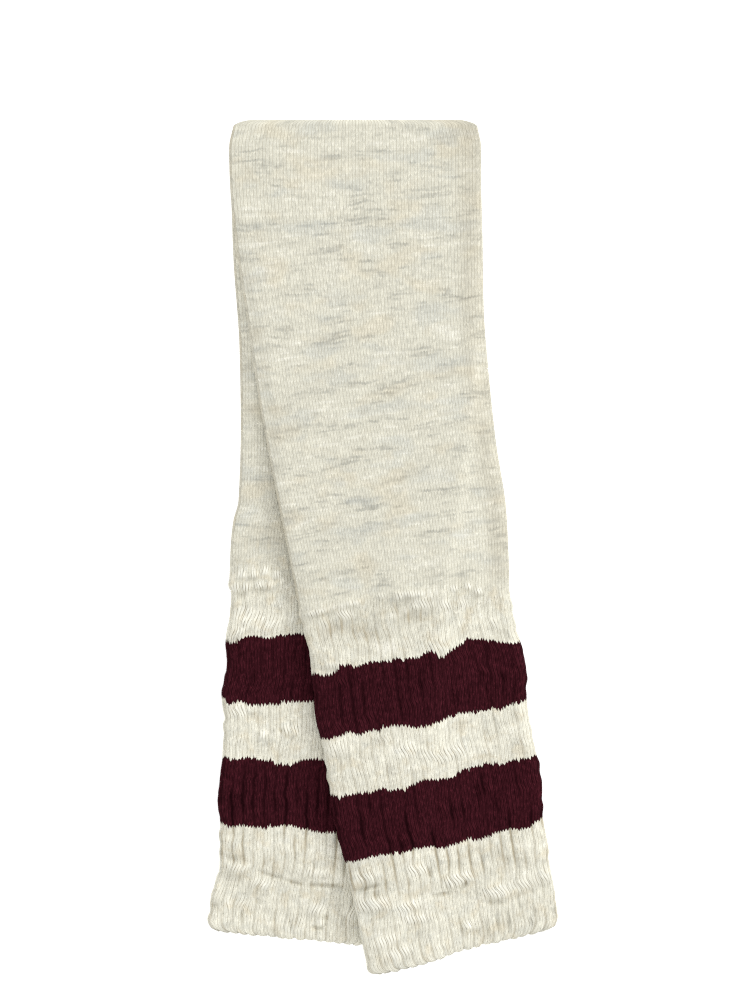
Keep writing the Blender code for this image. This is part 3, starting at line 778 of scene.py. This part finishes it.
def loops_of(half_width, thickness, outer, edge=ROUND_EDGE, groove=0.0, sides=SIDE_POINTS, ribbed=0.0):
    """Closed loops across a flat tube, one for each half width given.

    A loop is the outer face, the right edge, the inner face and the left edge. Top is 1 on the outer face and
    0 on the inner one.
    """
    given = half_width, thickness, ribbed
    half_width, thickness, ribbed = (np.atleast_1d(values)[:, None] for values in given)
    groove = np.broadcast_to(groove, (len(half_width),))[:, None]
    face = closed_up(outer * FACE_WALES, ribbed) / FACE_WALES
    flat = half_width - edge
    inner = np.linspace(1, 0, FACE_POINTS)
    turn = np.arange(1, sides + 1) / (sides + 1)
    bulge = edge * np.sin(math.pi * turn)
    pinch = np.exp(-(((turn - 0.5) * GROOVE_NARROW) ** 2))
    side = flat + bulge + (edge - bulge) * groove / FOOT_GROOVE - groove * pinch
    side_top = (1 + np.cos(math.pi * turn)) / 2
    half = FACE_SHARE + SIDE_SHARE
    share = np.concatenate([
        FACE_SHARE * outer,
        FACE_SHARE + SIDE_SHARE * turn,
        half + FACE_SHARE * (1 - inner),
        half + FACE_SHARE + SIDE_SHARE * turn,
    ])
    across = np.hstack([flat * (2 * face - 1), side, flat * (2 * inner - 1), -side[:, ::-1]])
    top = np.concatenate([np.ones(len(outer)), side_top, np.zeros(len(inner)), side_top[::-1]])
    return Loops(share, across, thickness * top, top)


def wale_at(share):
    """The wale at a share of the way round the tube."""
    shares = np.cumsum([0, FACE_SHARE, SIDE_SHARE, FACE_SHARE, SIDE_SHARE])
    return np.interp(share, shares, np.cumsum([0, FACE_WALES, SIDE_WALES, FACE_WALES, SIDE_WALES]))


class Bed:
    """The surface that a layer of a sock lies on."""

    def __init__(self, sock, base):
        self.sock = sock
        self.alongs = np.arange(-2 * BED_STEP, sock.length + 3 * BED_STEP, BED_STEP)
        shares = np.linspace(-BED_REACH, BED_REACH, BED_COLUMNS)
        along = np.repeat(self.alongs[:, None], BED_COLUMNS, axis=1)
        across = shares * sock.row(along)[2]
        self.heights = base(sock.place(along, across).reshape(-1, 2)).reshape(across.shape)

    def lay(self, along, across, height):
        """The places of points that lie so high over the bed."""
        share = across / self.sock.row(along)[2]
        column = (share + BED_REACH) * (BED_COLUMNS - 1) / (2 * BED_REACH)
        base = read_between(self.heights, (along - self.alongs[0]) / BED_STEP, column)
        return np.dstack([self.sock.place(along, across), base + height])


Rings = namedtuple("Rings", "first share count")  # rings one after another, with as many points in each


class Shell:
    """A closed mesh that is made ring by ring, and knows each point's wale, course and openness."""

    def __init__(self):
        self.places, self.courses = [], []
        # one mark holds the shade that is painted into the colour in the hollows
        self.marks = {"lean": [], "deep": [], "opened": []}
        self.size = 0
        self.faces = []  # each is its corners, as pairs of a point and its share of the way round

    def rings(self, length, share, places, marks=None):
        """Adds rings, each at a length along the cloth, and joins each to the next."""
        count, points = places.shape[:2]
        self.places.append(places.reshape(-1, 3))
        self.courses.append(np.repeat(length / COURSE, points))
        for name, values in self.marks.items():
            values.append((marks[name] if marks else np.zeros((count, points))).ravel())
        made = Rings(self.size, share, count)
        self.size += count * points
        for i in range(count - 1):
            self.join(made, i, made, i + 1)
        return made

    def join(self, rings, i, others, j):
        """Joins two rings, which may have unlike numbers of points, by their shares of the way round."""
        n, m = len(rings.share), len(others.share)
        a, b = rings.first + i * n, others.first + j * m
        ours, theirs = [*rings.share.tolist(), 1.0], [*others.share.tolist(), 1.0]
        p = q = 0
        while p < n or q < m:
            step_ours = p < n and (q == m or ours[p + 1] < theirs[q + 1] + SAME_SHARE)
            step_theirs = q < m and (p == n or theirs[q + 1] < ours[p + 1] + SAME_SHARE)
            face = [(a + p % n, ours[p])]
            if step_ours:
                face.append((a + (p + 1) % n, ours[p + 1]))
            if step_theirs:
                face.append((b + (q + 1) % m, theirs[q + 1]))
            face.append((b + q % m, theirs[q]))
            self.faces.append(face)
            p, q = p + step_ours, q + step_theirs

    def cap(self, rings):
        """Closes the last of these rings."""
        first = rings.first + (rings.count - 1) * len(rings.share)
        self.faces.append([(first + i, share) for i, share in enumerate(rings.share)])

    def mesh(self, name):
        """The shell as a mesh, with its faces turned outwards."""
        made = bpy.data.meshes.new(name)
        points = [[point for point, _ in face] for face in self.faces]
        made.from_pydata(np.concatenate(self.places) * MM, [], points)
        made.shade_smooth()
        wale = wale_at([share for face in self.faces for _, share in face])
        course = np.concatenate(self.courses)[[point for face in points for point in face]]
        knit = made.uv_layers.new(name="knit")
        knit.data.foreach_set("uv", np.column_stack([wale, course]).ravel().astype(np.float32))
        for mark, values in self.marks.items():
            attribute = made.attributes.new(mark, "FLOAT", "POINT")
            attribute.data.foreach_set("value", np.concatenate(values).astype(np.float32))
        made.validate()
        work = bmesh.new()
        work.from_mesh(made)
        bmesh.ops.recalc_face_normals(work, faces=work.faces)
        work.to_mesh(made)
        work.free()
        return made


def steps_between(start, end, step):
    """Even steps from start to end, none longer than step."""
    return np.linspace(start, end, math.ceil(abs(end - start) / step) + 1)


def leg_places(bed, alongs, outer, inset=0.0):
    """The leg's outside, ring by ring, or inset by that share of the wall: its shares, places and marks."""
    sock, lower = bed.sock, inset * PLAIN_WALL
    thickness = sock.leg_thickness(alongs) - inset * sock.upper_wall(alongs) - lower
    half_width = rounded_in(sock.row(alongs)[2], alongs, CORNER) - lower
    loops = loops_of(half_width, thickness, outer, ribbed=sock.ribbed(alongs))
    wale, even = wale_at(loops.share)[None], alongs[:, None]
    swing, lean = sock.swing(even + sock.wander(even, loops.across), loops.across)
    across = loops.across + swing
    along = even + sock.wander(even, across)
    relief, deep, opened = sock.relief(along, across, wale, lean)
    ragged = RAGGED * sock.patches(RIM, wale / RAGGED_WALES, wale * 0)
    stands_out = SCALLOP * (1 - SUNK_BACK * sunk_wale(wale)) + ragged - SET_BACK * (1 - loops.top)
    along = along - ease(1 - even / SCALLOP_REACH) * stands_out
    height = lower + loops.height + relief * loops.top * (1 - inset)
    marks = {"lean": lean * loops.top, "deep": deep * loops.top, "opened": opened * loops.top}
    return loops.share, bed.lay(along, across, height), marks


def lining_places(bed, alongs):
    """The plain inside of the leg, ring by ring."""
    sock, gap = bed.sock, bed.sock.inside_gap(alongs)
    half_width = rounded_in(sock.row(alongs)[2], alongs, CORNER) - PLAIN_WALL
    loops = loops_of(half_width, gap, np.linspace(0, 1, FACE_POINTS), edge=gap[:, None], sides=1)
    along = alongs[:, None] + sock.wander(alongs[:, None], loops.across)
    return loops.share, bed.lay(along, loops.across, PLAIN_WALL + loops.height)


def fold_places(bed, turned, outer):
    """The turn from the leg, at turned 0, to the foot, at turned 1."""
    sock, half_turn = bed.sock, math.pi * turned[:, None]
    thickness = sock.leg_thickness(sock.length) * (1 - turned) + FOOT_THICKNESS * turned
    half_width = sock.row(sock.length)[2] - FOLD_CORNER * np.sin(math.pi * turned) ** 2
    loops = loops_of(half_width, thickness, outer, groove=FOOT_GROOVE * turned)
    along = np.full(loops.across.shape, sock.length)
    radius = LAYER_GAP / 2 + loops.height
    places = bed.lay(along, loops.across, FOOT_THICKNESS + LAYER_GAP / 2 + radius * np.cos(half_turn))
    places[..., :2] += (radius * np.sin(half_turn))[..., None] * uphill_of(sock.row(sock.length)[1])
    return loops.share, places


def foot_places(bed, alongs, outer):
    """The flat foot, ring by ring. Its outer face is the lower one, since the fold turned it over."""
    sock = bed.sock
    half_width = rounded_in(sock.foot_half_width(alongs), alongs - sock.toe_along, TOE_RADIUS)
    loops = loops_of(half_width, np.full(len(alongs), FOOT_THICKNESS), outer, groove=FOOT_GROOVE)
    along = np.repeat(alongs[:, None], loops.across.shape[1], axis=1)
    return loops.share, bed.lay(along, loops.across, FOOT_THICKNESS - loops.height)


def add_object(name, data, place=(0, 0, 0), turn=(0, 0, 0)):
    made = bpy.data.objects.new(name, data)
    made.location = place
    made.rotation_euler = turn
    bpy.context.scene.collection.objects.link(made)
    return made


def build_sock(name, sock, material):
    leg_bed, foot_bed = Bed(sock, sock.leg_base), Bed(sock, sock.foot_base)
    by_wale = np.linspace(0, 1, FACE_WALES * WALE_POINTS + 1)
    plain = np.linspace(0, 1, PLAIN_POINTS)
    fine_end = sock.ribs_end + FINE_END
    cuff = steps_between(LIP, fine_end, CUFF_STEP)
    leg = steps_between(fine_end, sock.length, PLAIN_STEP)[1:-1]
    turned = np.linspace(0, 1, FOLD_STEPS + 1)
    fold_length = math.pi * FOOT_THICKNESS / 2
    quarter_turns = np.linspace(0, math.pi / 2, TOE_STEPS + 1)[1:]
    toe = sock.toe_along + TOE_RADIUS * (1 - np.sin(quarter_turns))
    foot = np.append(steps_between(sock.length, sock.toe_along + TOE_RADIUS, FOOT_STEP)[1:], toe)
    lip = np.zeros(1)
    inside = steps_between(LIP, sock.length - FOLD_CORNER, INSIDE_STEP)

    shell = Shell()
    outside = [
        shell.rings(cuff, *leg_places(leg_bed, cuff, by_wale)),
        shell.rings(leg, *leg_places(leg_bed, leg, plain)),
        shell.rings(sock.length + turned * fold_length, *fold_places(foot_bed, turned, plain)),
        shell.rings(2 * sock.length + fold_length - foot, *foot_places(foot_bed, foot, plain)),
    ]
    rim = shell.rings(lip, *leg_places(leg_bed, lip, by_wale, inset=0.5)[:2])
    lining = shell.rings(inside, *lining_places(leg_bed, inside))
    for rings, after in zip(outside, outside[1:]):
        shell.join(rings, rings.count - 1, after, 0)
    shell.cap(outside[-1])
    shell.join(outside[0], 0, rim, 0)
    shell.join(rim, 0, lining, 0)
    shell.cap(lining)

    mesh = shell.mesh(name)
    mesh.materials.append(material)
    return add_object(name, mesh)


def operation(kind):
    """What a sign does between wires and numbers: it makes the node that works it out."""
    return lambda wire, *others: wire.graph.math(kind, wire, *others)


class Wire:
    """A number or colour that a material's node gives, for writing formulas with."""

    def __init__(self, graph, socket):
        self.graph, self.socket = graph, socket

    def __rsub__(self, other):
        return self.graph.math("SUBTRACT", other, self)

    __add__ = __radd__ = operation("ADD")
    __mul__ = __rmul__ = operation("MULTIPLY")
    __sub__, __abs__, __floor__ = operation("SUBTRACT"), operation("ABSOLUTE"), operation("FLOOR")
    __gt__, __lt__ = operation("GREATER_THAN"), operation("LESS_THAN")
    larger = operation("MAXIMUM")


def fraction(wire):
    return wire - math.floor(wire)


def blend(low, high, share):
    """Low where share is 0 and high where it is 1."""
    return low + (high - low) * share


class Graph:
    """A material's nodes, made from short calls. A value given to one is a number, a colour or a wire."""

    def __init__(self, name, shift=0.0):
        self.material = bpy.data.materials.new(name)
        self.material.use_nodes = True
        self.tree = self.material.node_tree
        self.shift = shift

    def set(self, sockets, values):
        """Gives each of these sockets its value."""
        for key, value in values.items():
            if isinstance(value, Wire):
                self.tree.links.new(value.socket, sockets[key])
            else:
                sockets[key].default_value = value

    def shade(self, values):
        self.set(self.tree.nodes["Principled BSDF"].inputs, values)

    def node(self, kind, values, output=0, **settings):
        """A new node's output, as a wire."""
        made = self.tree.nodes.new(kind)
        for key, value in settings.items():
            setattr(made, key, value)
        self.set(made.inputs, values)
        return Wire(self, made.outputs[output])

    def math(self, kind, *values):
        return self.node("ShaderNodeMath", dict(enumerate(values)), operation=kind)

    def ramp(self, value, low, high):
        """0 where value is low or less, 1 where it is high or more, and an S between."""
        values = {"Value": value, "From Min": low, "From Max": high}
        return self.node("ShaderNodeMapRange", values, interpolation_type="SMOOTHSTEP")

    def vector(self, x, y, z=0.0):
        return self.node("ShaderNodeCombineXYZ", {"X": x, "Y": y, "Z": z})

    def noise(self, x, y, detail, roughness, z):
        values = {"Vector": self.vector(x, y, z), "Scale": 1.0, "Detail": detail, "Roughness": roughness}
        return self.node("ShaderNodeTexNoise", values)

    def patchy(self, name, wale, course):
        """A kind of the yarn's random patches."""
        kind = YARN_PATCHES[name]
        x, y = wale * kind.per_wale, course * kind.per_course
        return self.noise(x, y, kind.detail, kind.roughness, self.shift + kind.start)

    def random(self, x, y):
        """One random number for each whole x and y."""
        return self.node("ShaderNodeTexWhiteNoise", {"Vector": self.vector(x, y)}, noise_dimensions="2D")

    def attribute(self, name):
        return self.node("ShaderNodeAttribute", {}, "Fac", attribute_name=name, attribute_type="GEOMETRY")

    def mix(self, first, second, share, how="MIX"):
        values = {0: share, 6: first, 7: second}
        return self.node("ShaderNodeMix", values, 2, data_type="RGBA", blend_type=how)


# Colours, linear
CREAM = (0.643, 0.63, 0.535, 1)
CUFF_CREAM = (0.732, 0.718, 0.616, 1)
BRIGHT = (0.84, 0.83, 0.745, 1)
GREY = (0.33, 0.335, 0.30, 1)
BLUE_GREY = (0.50, 0.525, 0.50, 1)
BEIGE = (0.62, 0.555, 0.41, 1)
WINE = (0.016, 0.0022, 0.0040, 1)
WINE_LIGHT = (0.070, 0.0118, 0.0185, 1)
IN_GAPS = (0.16, 0.10, 0.0, 1)  # what is left of the light between the wales, where nothing softens it

# The stitches. A pair of numbers is where something sets in and where it is full, or how much there is of it
# on the plain leg and in the cuff, or its least and its most.
CUFF_KNIT = (3.0, -5.0)  # in courses past the cuff's top
CUFF_PALER = (-3.0, -31.0)  # the same for its paler yarn
OPENING = (0.1, 0.9)  # the lean or rise that pulls the stitches open
SLANT = 1.25  # how many courses a stitch's legs climb from the middle of its wale to its sides
OPEN_SLANT = 1.9  # how many times as far where they are pulled open
PULLS, OPEN_PULLS = (0.6, 2.6), 2.0  # how many courses wales are pulled, plain and in the cuff, and opened
FIBRE_SLANT = 0.5  # how far the fibres that show along a course climb
FIBRE_WAVES = 8.0  # and how many courses they wander
FIBRE_LENGTH = 0.09  # how much of the noise a fibre takes up over a wale
FIBRE_ROWS = (12.7, 5.3)  # steps in the noise from one row of fibres to the next, so that they are unlike
PLAIN_GAPS, CUFF_GAPS, OPEN_GAPS = 0.18, 0.22, 0.46  # how much painted shade darkens it between the wales
GAP_SPREAD = (0.4, 1.6)  # how unlike they are in the cuff, where some are shut and some are open
GAP_NOISE = (0.40, 0.62)  # from shut to open
LEG_GAPS, ROW_GAPS = (0.35, 0.6), 0.45  # how far the painted shade between a stitch's legs and between rows shows
WALE_GAP_REACH, LEG_GAP_REACH, ROW_GAP_REACH = (0.60, 1.0), (0.34, 0.0), (0.6, 1.0)  # in half wales and rows
OPEN_GAP_STARTS = 0.64
GAP_SHADE_BEIGE, HOLLOW_SHADE_BEIGE, GROOVE_SHADE_BEIGE = 0.25, 1.2, 3.5  # how far the painted shade in the gaps, in the hollows and in the ribs' grooves goes to beige
EDGE_WALES = (FACE_WALES - 9.0, FACE_WALES - 3.0)  # the plain leg gets painted shade, darker and more beige, along its right edge
EDGE_SHADE_BEIGE, EDGE_PAINTED_SHADE = 0.2, 0.88
GROOVE_REACH = (0.28, 0.44)  # in ribs, from the middle of a ridge towards the sunk wale
WINE_BY_LEG, WINE_BY_MOTTLE, WINE_BY_PAINTED_SHADE = (0.4, 1.0), (0.5, 1.0), (0.35, 0.0)  # how light the wine is, by each leg and mottle at random, and by the painted shade, which darkens it
ODD_SHARE, ODD_JUMP = 0.03, 1.2  # the share of wales where a band ends sooner or later, and by how far
ODD_COURSES, ODD_FROM = 27.3, 4.0  # those wales are drawn anew after so many courses
HOLES_FROM, HOLES_CROWDED, HOLES_SOFT = 0.80, 0.66, 0.06  # the draw from which a stitch has a pinhole
PLAIN_HOLES, CUFF_HOLES, OPEN_HOLES = 0.12, 0.40, 0.55  # how dark the pinholes are
HOLE_ALONG, HOLE_ACROSS = (0.5, 0.2), (0.50, 0.90)  # where they lie in a row and in half a wale
BRIGHT_YARN, OPEN_YARN_AND_HIGHLIGHT = (0.45, 0.6), 0.4  # how much of the brightest yarn shows, plain and in the cuff, and where the stitches are pulled open, where it is partly a painted highlight on the puckers' tops
BRIGHT_NOISE, MOTTLE_NOISE, CROWD_NOISE, CLOUD_NOISE = (0.475, 0.35), (0.3, 0.7), (0.45, 0.65), (0.35, 0.65)
STITCH_LIGHT, LEG_LIGHT, CLOUD_LIGHT = (0.93, 1.07), (0.91, 1.09), (1.02, 0.98)  # how unevenly light they are
STITCH_HEIGHT, STITCH_BUMP = 0.2, 0.6

# The heather's tints: the noise where each sets in and is full, and how much of it is mixed in
Tint = namedtuple("Tint", "colour starts full plain_share cuff_share")
GREY_TINT, WARM_TINT, COOL_TINT = table(
    Tint,
    (GREY, 0.515, 0.65, 0.66, 0.18),
    (BEIGE, 0.50, 0.68, 0.35, 0.45),
    (BLUE_GREY, 0.52, 0.68, 0.35, 0.22),
)

# The yarn's random patches: how many there are to a wale and to a course, how fine, and where they start
YarnPatches = namedtuple("YarnPatches", "name per_wale per_course detail roughness start")
YARN_PATCHES = {row.name: row for row in table(
    YarnPatches,
    ("pulls", 0.9, 0.05, 2, 0.5, 41),
    ("waves", 0.06, 0.05, 2, 0.5, 71),
    ("open gaps", 0.83, 0.16, 1, 0.5, 51),
    ("clouds", 0.06, 0.14, 3, 0.6, 7),
    ("down the wales", 0.7, 0.08, 3, 0.65, 13),
    ("warm", 0.07, 0.075, 2, 0.5, 23),
    ("warm cuff", 0.17, 0.13, 3, 0.6, 27),
    ("cool", 0.06, 0.10, 2, 0.5, 31),
    ("cool cuff", 0.15, 0.16, 3, 0.6, 37),
    ("mottle", 0.8, 0.45, 2, 0.5, 81),
    ("crowd", 0.2, 0.2, 1, 0.5, 61),
)}


def knit_material(name, shift, tone, cuff_top):
    """Knitted yarn, in wales and courses. Shift moves its random parts, so that two socks differ."""
    graph = Graph(name, shift)
    ramp, mix, patchy, random = graph.ramp, graph.mix, graph.patchy, graph.random
    knit = graph.node("ShaderNodeUVMap", {}, uv_map="knit")
    wale, even_course = (graph.node("ShaderNodeSeparateXYZ", {0: knit}, axis) for axis in ("X", "Y"))
    opened = ramp(abs(graph.attribute("lean")).larger(graph.attribute("opened")), *OPENING)
    closed = 1 - opened
    # the shade that is painted into the colour down in the ribs' grooves, the creases and the folds' troughs
    deep = graph.attribute("deep")
    past_top = even_course - cuff_top / COURSE
    cuff, paler = ramp(past_top, *CUFF_KNIT), ramp(past_top, *CUFF_PALER)

    # Neighbouring wales are pulled up or down a little, more so where the stitches are pulled open
    pulled = (patchy("pulls", wale, even_course) - 0.5) * blend(*PULLS, cuff)
    course = even_course + pulled * blend(1.0, OPEN_PULLS, opened)

    # A stitch has two legs, which climb from the middle of its wale to its sides. Where the wales are pulled
    # over, the legs of a wale close up, and it looks like one long strand.
    aside = abs(fraction(wale) * 2 - 1)
    climbed = course - SLANT * blend(1.0, OPEN_SLANT, opened) * aside
    row, along_leg = math.floor(climbed), fraction(climbed)
    of_wale, of_leg, of_gap = math.floor(wale), math.floor(wale * 2), math.floor(wale + 0.5)
    of_stitch, by_leg = random(of_wale, row), random(of_leg, row)
    wave = patchy("waves", wale, even_course) - 0.5
    fibre_row = math.floor(course - FIBRE_SLANT * aside + wave * FIBRE_WAVES)

    # Some of the gaps between wales are open for a few courses, and others are shut
    open_gap = ramp(patchy("open gaps", of_gap, even_course), *GAP_NOISE)
    gaps = blend(blend(PLAIN_GAPS, CUFF_GAPS, cuff), OPEN_GAPS, opened)
    gaps = gaps * blend(1.0, blend(*GAP_SPREAD, open_gap), cuff)
    gap_starts, gap_full = WALE_GAP_REACH
    between_wales = ramp(aside, blend(gap_starts, OPEN_GAP_STARTS, opened), gap_full)
    between_legs = ramp(aside, *LEG_GAP_REACH) * blend(*LEG_GAPS, cuff) * closed
    between_rows = ramp(abs(along_leg * 2 - 1), *ROW_GAP_REACH) * ROW_GAPS * closed
    gap = between_wales.larger(between_legs).larger(between_rows)

    # The heather: fibres of other colours run along the courses, and down the wales in the stretched cuff
    x, y = wale * FIBRE_LENGTH + fibre_row * FIBRE_ROWS[0], fibre_row * FIBRE_ROWS[1]
    fibres = graph.noise(x, y, detail=3.0, roughness=0.6, z=shift)
    clouds, down = patchy("clouds", wale, course), patchy("down the wales", wale, course)
    streak = blend(blend(clouds, fibres, 0.55), blend(clouds, down, 0.5), cuff)
    warm = blend(patchy("warm", wale, course), patchy("warm cuff", wale, course), cuff)
    cool = blend(patchy("cool", wale, course), patchy("cool cuff", wale, course), cuff)
    # brighter yarn in the heather's streaks, and where the stitches are pulled open, where it is partly a
    # painted highlight on the puckers' tops
    bright = (ramp(streak, *BRIGHT_NOISE) * blend(*BRIGHT_YARN, cuff)).larger(opened * OPEN_YARN_AND_HIGHLIGHT)
    cream = mix(mix(CREAM, CUFF_CREAM, paler), BRIGHT, bright)
    for tint, source in ((GREY_TINT, streak), (WARM_TINT, warm), (COOL_TINT, cool)):
        share = ramp(source, tint.starts, tint.full) * blend(tint.plain_share, tint.cuff_share, cuff)
        cream = mix(cream, tint.colour, share)

    # Painted shade turns beige in the gaps, the creases and the ribs' grooves, and along the plain leg's
    # right edge
    from_ridge = abs(fraction(wale * (1 / RIB_WALES) - 0.5 / RIB_WALES) - 0.5)
    groove = ramp(from_ridge, *GROOVE_REACH) * deep
    cream = mix(cream, BEIGE, (gap * GAP_SHADE_BEIGE).larger(deep * HOLLOW_SHADE_BEIGE + groove * GROOVE_SHADE_BEIGE))
    # painted shade along the plain leg's right edge, darker and more beige
    right_edge_shade = ramp(wale, *EDGE_WALES) * (1 - cuff)
    cream = mix(cream, BEIGE, right_edge_shade * EDGE_SHADE_BEIGE)

    # The bands, which end a stitch sooner or later in a few of the wales
    mottle = ramp(patchy("mottle", wale, course), *MOTTLE_NOISE)
    # the wine is painted darker in the gaps between the wales and in the painted shade, and lighter or darker
    # at random
    lit = (1 - gap) * blend(*WINE_BY_LEG, by_leg) * blend(*WINE_BY_MOTTLE, mottle)
    lit = lit * ramp(deep, *WINE_BY_PAINTED_SHADE)
    odd = random(of_wale, math.floor((row + ODD_FROM) * (1 / ODD_COURSES)))
    jumped = row + ((odd > 1 - ODD_SHARE) - (odd < ODD_SHARE)) * ODD_JUMP
    banded = sum((jumped > start - 0.5) * (jumped < end - 0.5) for start, end in BAND_COURSES)
    colour = mix(cream, mix(WINE, WINE_LIGHT, lit), banded)

    # Pinholes show between some of the stitches, and more of them where the cloth is gathered
    crowd = ramp(patchy("crowd", wale, course), *CROWD_NOISE)
    few = blend(HOLES_FROM, HOLES_CROWDED, crowd * cuff)
    hole = ramp(random(row, of_gap), few, few + HOLES_SOFT)
    hole = hole * ramp(along_leg, *HOLE_ALONG) * ramp(aside, *HOLE_ACROSS)
    hole = hole * blend(blend(PLAIN_HOLES, CUFF_HOLES, cuff), OPEN_HOLES, opened)
    # how light each stitch is: darker in a pinhole, lighter or darker at random, with the sock's painted
    # brightness, and darker in the painted shade of the hollows and along the right edge
    light = tone * (1 - hole) * blend(*STITCH_LIGHT, of_stitch) * blend(*LEG_LIGHT, by_leg)
    light = light * blend(*CLOUD_LIGHT, ramp(clouds, *CLOUD_NOISE)) * (1 - deep)
    light = light * blend(1.0, EDGE_PAINTED_SHADE, right_edge_shade)
    # painted shade in the gaps between the wales, the stitches' legs and the rows
    colour = mix(colour, IN_GAPS, gaps * gap, "MULTIPLY")
    grey = graph.node("ShaderNodeCombineColor", {0: light, 1: light, 2: light})
    colour = mix(colour, grey, 1.0, "MULTIPLY")

    height = (1 - gap) * (STITCH_HEIGHT * MM)
    bump = graph.node("ShaderNodeBump", {"Height": height, "Distance": 1.0, "Strength": STITCH_BUMP})
    graph.shade({"Base Color": colour, "Normal": bump, "Roughness": 1.0, "Specular IOR Level": 0.04})
    return graph.material


# The picture: the camera looks straight down on this much of a pale floor, which a lamp and a white sky light
VIEW_HEIGHT = 400.0
VIEW_MIDDLE = (-3.16, 17.84)
CAMERA_HEIGHT = 2200.0
SENSOR = 36.0
FARTHEST = 20000.0
LAMP_PLACE = (2200.0, 1700.0, 1500.0)
LAMP_SIZE, LAMP_POWER = 1000.0, 46.0
SKY = 1.08
WHITE = (1, 1, 1, 1)
FLOOR_SIZE = 4000.0
FLOOR_DROP = 0.1  # how far it lies under the socks
FLOOR_GLOW = 0.45
FLOOR_DULL, FLOOR_PALE = (0.9, 0.9, 0.9, 1), (0.92, 0.92, 0.92, 1)
FLOOR_GRAINS = 60.0  # to a metre
FILTER_WIDTH = 1.25


def add_camera():
    data = bpy.data.cameras.new("camera")
    data.sensor_fit = "VERTICAL"
    data.sensor_height = SENSOR
    data.lens = SENSOR * CAMERA_HEIGHT / VIEW_HEIGHT
    data.clip_end = FARTHEST * MM
    bpy.context.scene.camera = add_object("camera", data, np.array([*VIEW_MIDDLE, CAMERA_HEIGHT]) * MM)


def add_lights():
    data = bpy.data.lights.new("key", "AREA")
    data.size = LAMP_SIZE * MM
    data.energy = LAMP_POWER
    x, y, z = LAMP_PLACE
    turn = (math.atan2(math.hypot(x, y), z), 0, math.atan2(y, x) + math.pi / 2)
    add_object("key", data, np.array(LAMP_PLACE) * MM, turn)
    scene = bpy.context.scene
    scene.world = bpy.data.worlds.new("studio")
    scene.world.use_nodes = True
    sky = scene.world.node_tree.nodes["Background"].inputs
    sky["Color"].default_value = WHITE
    sky["Strength"].default_value = SKY
    scene.view_settings.view_transform = "Standard"
    scene.cycles.use_denoising = False
    scene.cycles.filter_width = FILTER_WIDTH


def add_floor():
    graph = Graph("pale_floor")
    places = graph.node("ShaderNodeTexCoord", {}, "Object")
    grain = graph.node("ShaderNodeTexNoise", {"Vector": places, "Scale": FLOOR_GRAINS, "Detail": 3.0})
    graph.shade({"Base Color": graph.mix(FLOOR_DULL, FLOOR_PALE, grain), "Roughness": 0.9})
    graph.shade({"Emission Color": WHITE, "Emission Strength": FLOOR_GLOW})
    mesh = bpy.data.meshes.new("floor")
    half, drop = FLOOR_SIZE / 2 * MM, FLOOR_DROP * MM
    corners = [(x * half, y * half, -drop) for x, y in ((-1, -1), (1, -1), (1, 1), (-1, 1))]
    mesh.from_pydata(corners, [], [(0, 1, 2, 3)])
    mesh.materials.append(graph.material)
    add_object("floor", mesh)


# Each sock's own: where its yarn's random parts start, its painted brightness (the back sock is painted a
# little lighter against the shade beside the front sock), and how far along its cuff's knit ends
Look = namedtuple("Look", "node slot shift tone cuff_top rests_on")
BACK_LOOK, FRONT_LOOK = table(
    Look,
    ("back_sock", "cream_knit_shaded", 3.0, 1.02, 157.0, "floor"),
    ("front_sock", "cream_knit", 0.0, 1.0, 145.0, "back_sock_knit"),
)


def main():
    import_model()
    add_camera()
    add_lights()
    add_floor()
    back = Sock(BACK_ROWS, BACK_FOLDS, BACK_PUCKERS, BACK_EDGES, seed=11)
    front = Sock(FRONT_ROWS, FRONT_FOLDS, FRONT_PUCKERS, FRONT_EDGES, seed=41, below=back)
    for sock, look in ((back, BACK_LOOK), (front, FRONT_LOOK)):
        material = knit_material(look.node + "_yarn", look.shift, look.tone, look.cuff_top)
        piece = build_sock(look.node + "_knit", sock, material)
        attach(piece, "root")
        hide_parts(look.node)


main()
